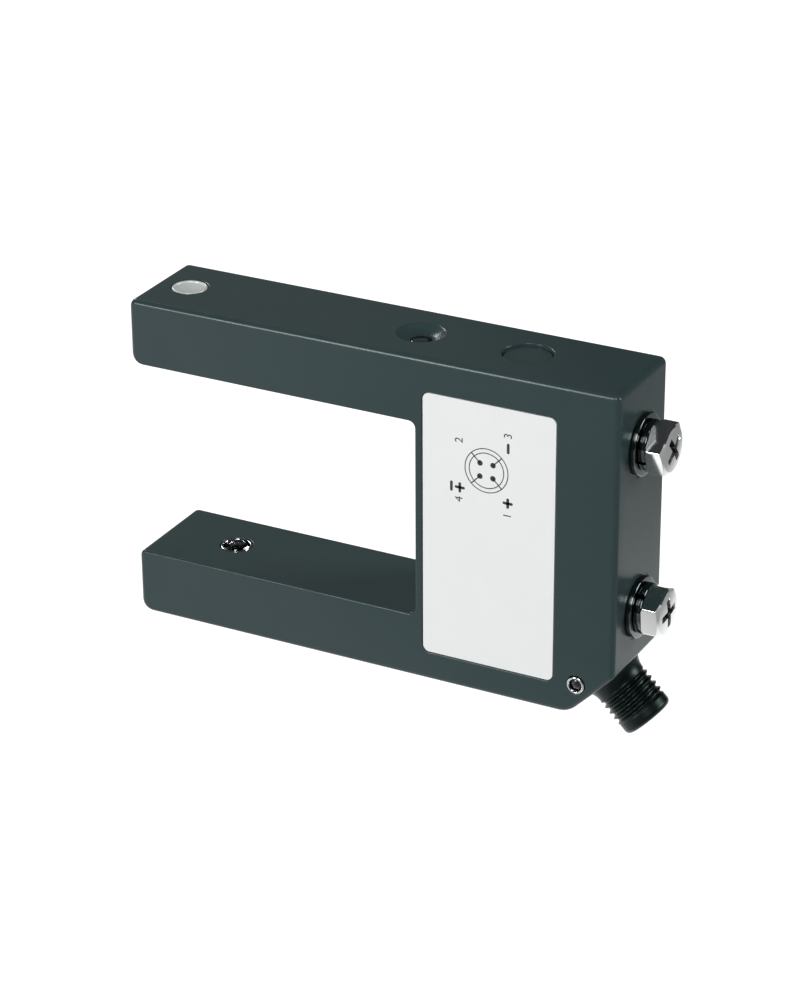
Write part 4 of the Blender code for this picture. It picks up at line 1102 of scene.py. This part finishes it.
@dataclass
class MountingScrews(SubAssembly):
    """The two hex screws in the end face, with their spring and flat washers.

    A head's own axes stand in its foot, the third one along the screw towards its top. The
    turns are those of hexagon, cross and spring washer's gap, in degrees.
    """

    upper_turns: Point = (49, 40, 200)
    lower_turns: Point = (35, 8, 130)
    across_flats: float = 7.0 * MM
    head_height: float = 2.8 * MM
    face_share: float = 0.9
    face_rows: int = 8
    crown: float = 0.2 * MM
    corner_drop: float = 0.62 * MM
    cone_rows: int = 5
    flank_rows: int = 3
    foot_cut: float = 0.25 * MM
    corner_rounding: float = 0.22 * MM
    corner_crowding: float = 0.9
    recess_reach: float = 2.2 * MM
    recess_half_width: float = 0.52 * MM
    recess_depth: float = 1.5 * MM
    recess_rise: float = 0.45
    # How quickly the painted shade in the cross recess reaches full strength with depth.
    recess_shade_steepness: float = 6.0
    recess_end_run: float = 0.5 * MM
    recess_side_run: float = 0.14 * MM
    patch_reach: float = 2.45 * MM
    patch_corner: float = 2.95 * MM
    patch_spans: tuple[int, ...] = (4, 2, 7, 3, 2)
    columns_per_flat: int = 24
    shank_radius: float = 2.0 * MM
    pitch: float = 0.7 * MM
    thread_depth: float = 0.38 * MM
    thread_rows: int = 140
    tip_share: float = 0.8
    spring_outer: float = 3.7 * MM
    spring_inner: float = 2.2 * MM
    spring_rounding: float = 0.12 * MM
    spring_corner_steps: int = 3
    spring_gap: float = math.radians(9)
    washer_rounding: float = 0.16 * MM
    washer_edge_steps: int = 5
    steps: int = 128

    def build(self) -> None:
        """Builds and dresses both screws with their washers."""
        for side, turns in (("upper", self.upper_turns), ("lower", self.lower_turns)):
            node = f"{side}_mounting_screw"
            hexagon, cross, gap = np.radians(turns).tolist()
            self.build_screw(node, hexagon, cross)
            self.build_flat_washer(f"{node}_flat_washer")
            self.build_spring_washer(f"{node}_spring_washer", gap)

    def build_screw(self, node: str, hexagon: float, cross: float) -> None:
        """A whole screw: the patch with the cross recess, then rings from it to the tip.

        Args:
            node: the solid that it replaces.
            hexagon: the turn of the hexagon's corners, in radians.
            cross: the turn of the cross recess, in radians.
        """
        low, high = node_box(node)
        foot = (low + high) / 2
        foot[0] = high[0] - self.head_height
        patch = self.recess_patch()
        rings = self.head_rings(patch, hexagon - cross, foot[0] - low[0])
        place = place_at(foot, TO_END, cross)
        grids = Grid(patch, around=False), Grid(rings)
        screw = grid_piece(f"{node}_threaded", place, *grids, shading=Shading.CRISP)
        self.mark_recess(screw, place)
        self.dress(screw, Slot.NICKEL, SCREW_NICKEL, node)

    def mark_recess(self, screw: Piece, place: Array) -> None:
        """Stores how deep in the cross each point lies, from 0 to 1, for the finish's painted
        shade.

        Args:
            screw: the finished screw.
            place: where its head's own axes stand.
        """
        points = read_rows(screw.data.vertices, "co", 3)
        across, along, height = moved(points, np.linalg.inv(place)).T
        radius = np.hypot(across, along)
        below = (self.face_height(radius) - height) / self.recess_depth
        inside = (radius < self.recess_reach) & (height > 0)
        share = np.where(inside, np.clip(self.recess_shade_steepness * below, 0, 1), 0)
        depth = screw.data.attributes.new(RECESS_DEPTH, "FLOAT", "POINT")
        depth.data.foreach_set("value", share.astype(np.float32))

    def recess_patch(self) -> Array:
        """The middle of the head's top, a square grid with lines along the recess's edges.

        The depth of a wing is its full depth times (reach - u) / end run or (half width - v) /
        side run, whichever is less, held between 0 and 1. The cross is the deeper of two
        wings, and its floor rises evenly outwards. The height also falls by the crown times
        the radius squared. Past the recess's reach the grid is drawn in, so that its corners
        stay inside the round face.

        Returns:
            Grid points, rows by columns by 3.
        """
        keys = (
            0.0,
            self.recess_half_width - self.recess_side_run,
            self.recess_half_width,
            self.recess_reach - self.recess_end_run,
            self.recess_reach,
            self.patch_reach,
        )
        spans = zip(keys, keys[1:], self.patch_spans)
        half = np.concatenate([np.linspace(a, b, n, endpoint=False) for a, b, n in spans])
        half = np.append(half, self.patch_reach)
        lines = np.concatenate([-half[:0:-1], half])
        across, along = np.meshgrid(lines, lines, indexing="ij")
        radius = np.hypot(across, along)
        cross = np.maximum(self.wing(across, along), self.wing(along, across))
        cross *= 1 - self.recess_rise * np.minimum(radius / self.recess_reach, 1)
        corner = self.patch_reach * math.sqrt(2)
        drawn = (radius - self.recess_reach) / (corner - self.recess_reach)
        drawn = self.recess_reach + drawn * (self.patch_corner - self.recess_reach)
        scale = np.where(radius > self.recess_reach, drawn / np.maximum(radius, WELD), 1.0)
        height = self.face_height(radius * scale) - self.recess_depth * cross
        return np.stack([across * scale, along * scale, height], axis=2)

    def wing(self, along: Array, across: Array) -> Array:
        """How deep one bar of the cross is, from 0 to 1.

        Args:
            along: how far points are along the bar from its middle.
            across: how far they are across it.

        Returns:
            The share of the full depth at each point.
        """
        ends = (self.recess_reach - np.abs(along)) / self.recess_end_run
        sides = (self.recess_half_width - np.abs(across)) / self.recess_side_run
        return np.clip(np.minimum(ends, sides), 0, 1)

    def face_height(self, radius: Array | float) -> Array | float:
        """The height of the head's top: its height less the crown times radius squared."""
        face = self.face_share * self.across_flats / 2
        return self.head_height - self.crown * (radius / face) ** 2

    def hexagon_radius(self, angle: Array) -> Array:
        """The radius of a hexagon with rounded corners, one of them at angle 0.

        Along a flat it is half the width across flats over cos b, where b is the angle from
        the flat's middle. Round a corner it is where the ray meets the corner's circle.

        Args:
            angle: angles about the axis, in radians.

        Returns:
            The radius at each angle.
        """
        half = self.across_flats / 2
        sector = math.pi / 3
        off = np.abs(np.mod(angle, sector) - sector / 2)
        inner = half - self.corner_rounding
        reach = inner / math.cos(sector / 2)
        side = sector / 2 - off
        chord = self.corner_rounding**2 - (reach * np.sin(side)) ** 2
        corner = reach * np.cos(side) + np.sqrt(np.maximum(chord, 0))
        on_corner = half * np.tan(off) > inner * math.tan(sector / 2)
        return np.where(on_corner, corner, half / np.cos(off))

    def ring_angles(self, hexagon: float) -> Array:
        """The rings' angles from the patch's corner on, crowded round the hexagon's corners.

        In each sixth of a turn, u from 0 to 1 becomes u - k sin(2 pi u) / (2 pi).

        Args:
            hexagon: the angle of a hexagon corner, in radians.

        Returns:
            One angle for each column.
        """
        per_flat = self.columns_per_flat
        step = math.pi / 3 / per_flat
        first = round((hexagon + math.pi / 4) / step)
        count = np.arange(6 * per_flat) - first
        share = np.mod(count, per_flat) / per_flat
        crowded = share - self.corner_crowding * np.sin(math.tau * share) / math.tau
        return hexagon + (np.floor(count / per_flat) + crowded) * math.pi / 3

    def head_rings(self, patch: Array, hexagon: float, length: float) -> Array:
        """The rings from the patch's edge over face, chamfer, flanks and foot to the tip.

        The chamfer is a cone: its height falls evenly with the radius. Each column's flank
        begins where the cone meets the hexagon, which gives the curved edges of a hex head.

        Args:
            patch: the patch's grid points.
            hexagon: the angle of a hexagon corner against the cross, in radians.
            length: the shank's length.

        Returns:
            Grid points, rows by columns by 3.
        """
        sides = (patch[-1, :-1], patch[:0:-1, -1], patch[0, :0:-1], patch[:-1, 0])
        edge = np.concatenate(sides)[None, :, :2]
        angle = self.ring_angles(hexagon)
        way = np.stack([np.cos(angle), np.sin(angle)], axis=1)[None]
        face = self.face_share * self.across_flats / 2
        outline = self.hexagon_radius(angle - hexagon)
        widest = self.across_flats / math.sqrt(3)
        slope = (self.corner_drop - self.crown) / (widest - face)
        blend = np.linspace(0, 1, self.face_rows)[:, None, None]
        flat = (1 - blend) * edge + blend * face * way
        top = self.face_height(np.hypot(flat[..., 0], flat[..., 1]))
        share = np.linspace(0, 1, self.cone_rows + 1)[1:, None]
        cone = face + share * (outline - face)
        cone_height = self.face_height(face) - (cone - face) * slope
        foot_height = np.maximum(outline - (widest - self.foot_cut), 0)
        drop = np.linspace(0, 1, self.flank_rows + 1)[1:, None]
        flank_height = cone_height[-1] + drop * (foot_height - cone_height[-1])
        under = outline + drop * (self.shank_radius - outline)
        under_height = np.maximum(under - (widest - self.foot_cut), 0)
        depth = np.linspace(0, length - self.pitch, self.thread_rows)[:, None]
        turns = -depth / self.pitch - angle / math.tau
        present = np.clip(depth / self.pitch - 1, 0, 1)
        shank = self.shank_radius - self.thread_depth * thread_groove(turns) * present
        tip = self.shank_radius - self.thread_depth
        tip_radius = np.array([tip, tip * self.tip_share, 0])[:, None]
        tip_height = np.array([self.pitch / 2 - length, -length, -length])[:, None]
        rings = (
            wound(cone, cone_height, angle),
            wound(outline, flank_height, angle),
            wound(under, under_height, angle),
            wound(shank, -depth, angle),
            wound(tip_radius, tip_height, angle),
        )
        return np.concatenate([np.concatenate([flat, top[..., None]], axis=2), *rings])

    def build_flat_washer(self, node: str) -> None:
        """A stamped washer: a rectangle section with rounded outer edges, turned.

        Args:
            node: the solid that it replaces.
        """
        low, high = node_box(node)
        place, thickness = seat(node, TO_END)
        edge = self.washer_rounding
        middle = (high[2] - low[2]) / 2 - edge
        steps = self.washer_edge_steps
        rows = profile(
            (self.spring_inner, 0),
            (self.spring_inner, thickness),
            arc((middle, thickness - edge), edge, 90, 0, steps),
            arc((middle, edge), edge, 0, -90, steps),
        )
        washer = turned_piece(f"{node}_turned", place, rows, self.steps, ring=True)
        even_shading(washer)
        # The flat washer takes nickel darkened as painted shade.
        self.dress(washer, Slot.NICKEL, SHADED_NICKEL, node)

    def build_spring_washer(self, node: str, turn: float) -> None:
        """A split ring of square wire: its section carried round almost a full turn.

        The section's place at angle a is radius (cos a, sin a), and the ring stops short of
        a full turn by its gap; the ends are flat faces.

        Args:
            node: the solid that it replaces.
            turn: where the gap is, in radians.
        """
        place, thickness = seat(node, TO_END, turn)
        width = self.spring_outer - self.spring_inner
        corners = self.spring_rounding, self.spring_corner_steps
        section = rounded_rectangle(width, thickness, *corners)
        radius = section[:, 0] + (self.spring_outer + self.spring_inner) / 2
        height = section[:, 1] + thickness / 2
        half_gap = self.spring_gap / 2
        angle = np.linspace(half_gap, math.tau - half_gap, self.steps)[:, None]
        grid = Grid(wound(radius, height, angle), capped=True)
        washer = grid_piece(f"{node}_wound", place, grid)
        even_shading(washer)
        # The spring washer takes nickel darkened as painted shade.
        self.dress(washer, Slot.NICKEL, SHADED_NICKEL, node)


@dataclass
class Optics(SubAssembly):
    """The two lenses that face each other across the slot, their rings and what is behind."""

    lens_radius: float = 1.9 * MM
    dome_depth: float = 1.5 * MM
    dome_rows: int = 20
    flange_radius: float = 2.8 * MM
    flange_thickness: float = 0.6 * MM
    ring_inner: float = 2.0 * MM
    ring_outer: float = 2.35 * MM
    steps: int = 96

    def build(self) -> None:
        """Builds and dresses both optical ends."""
        for role, arm, way in (("emitter", "upper", DOWN), ("receiver", "lower", UP)):
            self.build_lens(f"{role}_lens", way)
            self.build_ring(f"{role}_lens_ring", way)
            self.carry(f"{role}_diode", DIODE_EPOXY)
            self.carry(f"{arm}_arm_board", BOARD_MASK)

    def build_lens(self, node: str, way: Point) -> None:
        """A domed lens: part of an ellipse over a straight stem and a flange.

        Args:
            node: the solid that it replaces.
            way: the way that it faces.
        """
        place, length = seat(node, way)
        rows = profile(
            dome(self.lens_radius, self.dome_depth, length, self.dome_rows),
            (self.lens_radius, self.flange_thickness),
            (self.flange_radius, self.flange_thickness),
            (self.flange_radius, 0),
            (0, 0),
        )
        lens = turned_piece(f"{node}_polished", place, rows, self.steps)
        self.dress(lens, Slot.LENS, CLEAR_ACRYLIC, node)

    def build_ring(self, node: str, way: Point) -> None:
        """The bright ring round a lens, with a rounded lip.

        Args:
            node: the solid that it replaces.
            way: the way that it faces.
        """
        place, length = seat(node, way)
        rows = lipped_tube(self.ring_inner, self.ring_outer, length)
        ring = turned_piece(f"{node}_turned", place, rows, self.steps, ring=True)
        self.dress(ring, Slot.NICKEL, BRIGHT_NICKEL, node)


@dataclass
class Indicators(SubAssembly):
    """The window and light in the top, and the status light with its bezel in the front.

    The window's lip is an arc: its first and last angle in degrees, and its steps.
    """

    bezel_outer: float = 1.32 * MM
    bezel_inner: float = 0.95 * MM
    light_radius: float = 0.85 * MM
    light_dome: float = 0.35 * MM
    light_rows: int = 12
    window_rounding: float = 0.15 * MM
    window_crown: float = 0.06 * MM
    window_rows: int = 8
    window_lip: tuple[float, float, int] = (80, 0, 5)
    steps: int = 72

    def build(self) -> None:
        """Builds and dresses the window and the status light."""
        self.carry("indicator_light", LIGHT_DIE)
        self.build_window()
        self.build_status()

    def build_window(self) -> None:
        """The window at the bottom of the dish: a disc with a low crown.

        The crown falls as r squared, from the middle to a small round edge.
        """
        low, high = node_box("indicator_window")
        place, length = seat("indicator_window", UP)
        radius = (high[0] - low[0]) / 2
        edge = self.window_rounding
        reach = np.linspace(0, radius - edge, self.window_rows)
        fall = self.window_crown * (reach / radius) ** 2
        crown = np.stack([reach, length - fall], axis=1)
        centre = (radius - edge, length - edge - self.window_crown)
        lip = arc(centre, edge, *self.window_lip)
        rows = profile(crown, lip, (radius, 0), (0, 0))
        window = turned_piece("indicator_window_polished", place, rows, self.steps)
        self.dress(window, Slot.WINDOW, DARK_POLYCARBONATE, "indicator_window")

    def build_status(self) -> None:
        """The bezel, a half round lip on a tube, and the small dome inside it."""
        place, length = seat("status_bezel", TO_FRONT)
        rows = lipped_tube(self.bezel_inner, self.bezel_outer, length)
        bezel = turned_piece("status_bezel_turned", place, rows, self.steps, ring=True)
        self.dress(bezel, Slot.NICKEL, BRIGHT_NICKEL, "status_bezel")
        place, length = seat("status_light", TO_FRONT)
        crown = dome(self.light_radius, self.light_dome, length, self.light_rows)
        rows = profile(crown, (self.light_radius, 0), (0, 0))
        light = turned_piece("status_light_polished", place, rows, self.steps)
        self.dress(light, Slot.WINDOW, DARK_POLYCARBONATE, "status_light")


@dataclass
class Connector(SubAssembly):
    """The threaded round connector on the heel: shell, seal, nut, insert and pins.

    Heights count along its slanted axis from the heel's face. Rim and lip are arcs: first
    and last angle in degrees, and steps.
    """

    heel_chamfer: float = 7.0 * MM
    length: float = 8.2 * MM
    major_radius: float = 4.0 * MM
    core_radius: float = 3.88 * MM
    pitch: float = 1.0 * MM
    thread_depth: float = 0.42 * MM
    thread_start: float = 1.9 * MM
    thread_end: float = 6.5 * MM
    fade: float = 0.45 * MM
    flare_radius: float = 4.5 * MM
    flare_length: float = 1.9 * MM
    seat_gap: float = 0.1 * MM
    rim_rounding: float = 0.75 * MM
    rim_arc: tuple[float, float, int] = (8, 90, 8)
    lip_rounding: float = 0.15 * MM
    lip_arc: tuple[float, float, int] = (90, 180, 4)
    cup_radius: float = 2.95 * MM
    cup_depth: float = 6.4 * MM
    bore_radius: float = 2.65 * MM
    shank_radius: float = 3.2 * MM
    shank_length: float = 5.0 * MM
    nut_rounding: float = 0.08 * MM
    insert_rounding: float = 0.06 * MM
    columns: int = 160
    thread_rows: int = 150

    def build(self) -> None:
        """Builds and dresses the connector."""
        self.build_shell()
        self.dress_copy("connector_nut", Slot.NICKEL, BRIGHT_NICKEL, self.nut_rounding)
        self.dress_copy("connector_seal", Slot.RUBBER, SEAL_RUBBER)
        self.dress_copy("connector_insert", Slot.PLASTIC, BLACK_NYLON, self.insert_rounding)
        for number, wire in enumerate(Wire, 1):
            self.dress_copy(f"connector_pin_{number}", Slot.GOLD, GOLD_PLATE)
            self.carry(f"connector_lead_{number}", wire.coat())

    def build_shell(self) -> None:
        """The shell: a turned profile whose outside also winds up as a thread."""
        rim, lip = self.rim_rounding, self.lip_rounding
        heights = np.linspace(self.seat_gap, self.length - rim, self.thread_rows)[:, None]
        angle = np.linspace(0, math.tau, self.columns, endpoint=False)
        thread = wound(self.outside_radius(heights, angle), heights, angle)
        inner = profile(
            arc((self.core_radius - rim, self.length - rim), rim, *self.rim_arc),
            arc((self.cup_radius + lip, self.length - lip), lip, *self.lip_arc),
            (self.cup_radius, self.length - self.cup_depth),
            (self.bore_radius, self.length - self.cup_depth),
            (self.bore_radius, -self.shank_length),
            (self.shank_radius, -self.shank_length),
            (self.shank_radius, self.seat_gap),
        )
        grid = Grid(np.concatenate([thread, turned(inner, self.columns)]), ring=True)
        low, high = node_box("housing")
        half = self.heel_chamfer / 2
        place = place_at((high[0] - half, 0.0, low[2] + half), (1, 0, -1))
        shell = grid_piece("connector_shell_threaded", place, grid)
        self.dress(shell, Slot.SHELL, BLACK_NICKEL, "connector_shell")

    def outside_radius(self, height: Array, angle: Array) -> Array:
        """The shell's outside radius at heights and angles.

        It is base(h) - depth * d(h / pitch - a / 360), where d is 0 on the thread's crest, 1
        in its root and straight between, and fades out at both ends of the thread. The base
        flares out towards the heel as (1 - h / flare length) squared.

        Args:
            height: heights along the axis, as a column.
            angle: angles round it, as a row.

        Returns:
            The radius at each height and angle.
        """
        share = np.clip(height / self.flare_length, 0, 1)
        base = self.core_radius + (self.flare_radius - self.core_radius) * (1 - share) ** 2
        groove = thread_groove(height / self.pitch - angle / math.tau)
        begin = np.clip((height - self.thread_start) / self.fade, 0, 1)
        finish = np.clip((self.thread_end - height) / self.fade, 0, 1)
        crest = self.major_radius - self.core_radius
        return base + (crest - self.thread_depth * groove) * begin * finish


@dataclass
class Electronics(SubAssembly):
    """The main board with its parts and screws, and the leads that run to it."""

    def build(self) -> None:
        """Dresses the electronics, which are shown as their solids."""
        self.carry("main_board", BOARD_MASK)
        self.carry("amplifier_chip", CHIP_EPOXY)
        self.carry("output_driver", CHIP_EPOXY)
        self.carry("smoothing_capacitor", CAN_SLEEVE)
        for number, wire in enumerate((Wire.BROWN, Wire.BLUE), 1):
            self.carry(f"board_screw_{number}", ZINC_PLATE)
            self.carry(f"upper_arm_lead_{number}", wire.coat())
            self.carry(f"lower_arm_lead_{number}", wire.coat())


# Studio


@dataclass(frozen=True)
class Softbox:
    """A square area light: its name, its place, the length of its side and its watts."""

    name: str
    where: Point
    size: float
    watts: float

    def hang(self, target: Point) -> None:
        """Adds the light to the scene.

        Args:
            target: the point that it faces.
        """
        light = bpy.data.lights.new(self.name, "AREA")
        set_all(light, shape="SQUARE", size=self.size, energy=self.watts)
        holder = bpy.data.objects.new(self.name, light)
        away = Vector(self.where) - Vector(target)
        turn = away.to_track_quat("Z", "Y").to_matrix().to_4x4()
        holder.matrix_world = Matrix.Translation(self.where) @ turn
        bpy.context.scene.collection.objects.link(holder)


@dataclass
class Studio:
    """Floor, soft lights and the camera at the photograph's angle."""

    floor_z: float = -75 * MM
    floor_span: float = 8.0
    world_grey: int = 0x8A8D8F
    world_strength: float = 0.15
    target: Point = (-0.035, 0.0, 0.0)
    softboxes: tuple[Softbox, ...] = (
        Softbox("key softbox", (-0.60, -1.15, 0.30), 0.3, 9.0),
        Softbox("front softbox", (0.28, -0.98, 0.88), 0.5, 11.0),
        Softbox("right softbox", (1.03, 0.55, 0.51), 0.5, 9.5),
        Softbox("left softbox", (-1.05, 0.70, 0.75), 0.4, 5.0),
        Softbox("back softbox", (-0.82, 1.00, 0.59), 0.6, 0.18),
    )
    camera_place: Point = (164.494 * MM, -383.891 * MM, 203.206 * MM)
    camera_forward: Point = (-0.42009, 0.79840, -0.43137)
    camera_right: Point = (0.88606, 0.46355, -0.00492)
    lens_mm: float = 120.66
    sensor_mm: float = 36.0
    clip_start: float = 0.01

    def build(self) -> None:
        """Builds the studio."""
        self.build_floor()
        self.build_world()
        for softbox in self.softboxes:
            softbox.hang(self.target)
        self.build_camera()

    def build_floor(self) -> None:
        """The floor: a flat sheet of paper."""
        half = self.floor_span / 2
        corners = [(half * side, half * end, self.floor_z) for side, end in CORNERS]
        mesh = bpy.data.meshes.new("studio_floor")
        mesh.from_pydata(corners, [], [(0, 1, 2, 3)])
        mesh.materials.append(WHITE_PAPER.material())
        link_mesh("studio_floor", mesh)

    def build_world(self) -> None:
        """An even, dim surround, so that the metal has something dark to show."""
        world = bpy.data.worlds.new("studio surround")
        world.use_nodes = True
        look = {"Color": linear_colour(self.world_grey), "Strength": self.world_strength}
        feed(world.node_tree, world.node_tree.nodes["Background"], look)
        bpy.context.scene.world = world

    def build_camera(self) -> None:
        """The camera, whose own axes are right, up and back."""
        right = Vector(self.camera_right).normalized()
        back = -Vector(self.camera_forward).normalized()
        up = back.cross(right).normalized()
        axes = Matrix((up.cross(back), up, back)).transposed().to_4x4()
        camera = bpy.data.cameras.new("photo camera")
        set_all(camera, lens=self.lens_mm, sensor_width=self.sensor_mm)
        camera.clip_start = self.clip_start
        holder = bpy.data.objects.new("photo camera", camera)
        holder.matrix_world = Matrix.Translation(self.camera_place) @ axes
        bpy.context.scene.collection.objects.link(holder)
        bpy.context.scene.camera = holder


def main() -> None:
    """Builds the sub-assemblies in order, then the studio."""
    logging.basicConfig(level=logging.INFO, format="%(message)s")
    parts = Casing, Label, MountingScrews, Optics, Indicators, Connector, Electronics, Studio
    for part in parts:
        part().build()
    bpy.context.scene.view_settings.view_transform = "Standard"


if __name__ == "__main__":
    main()
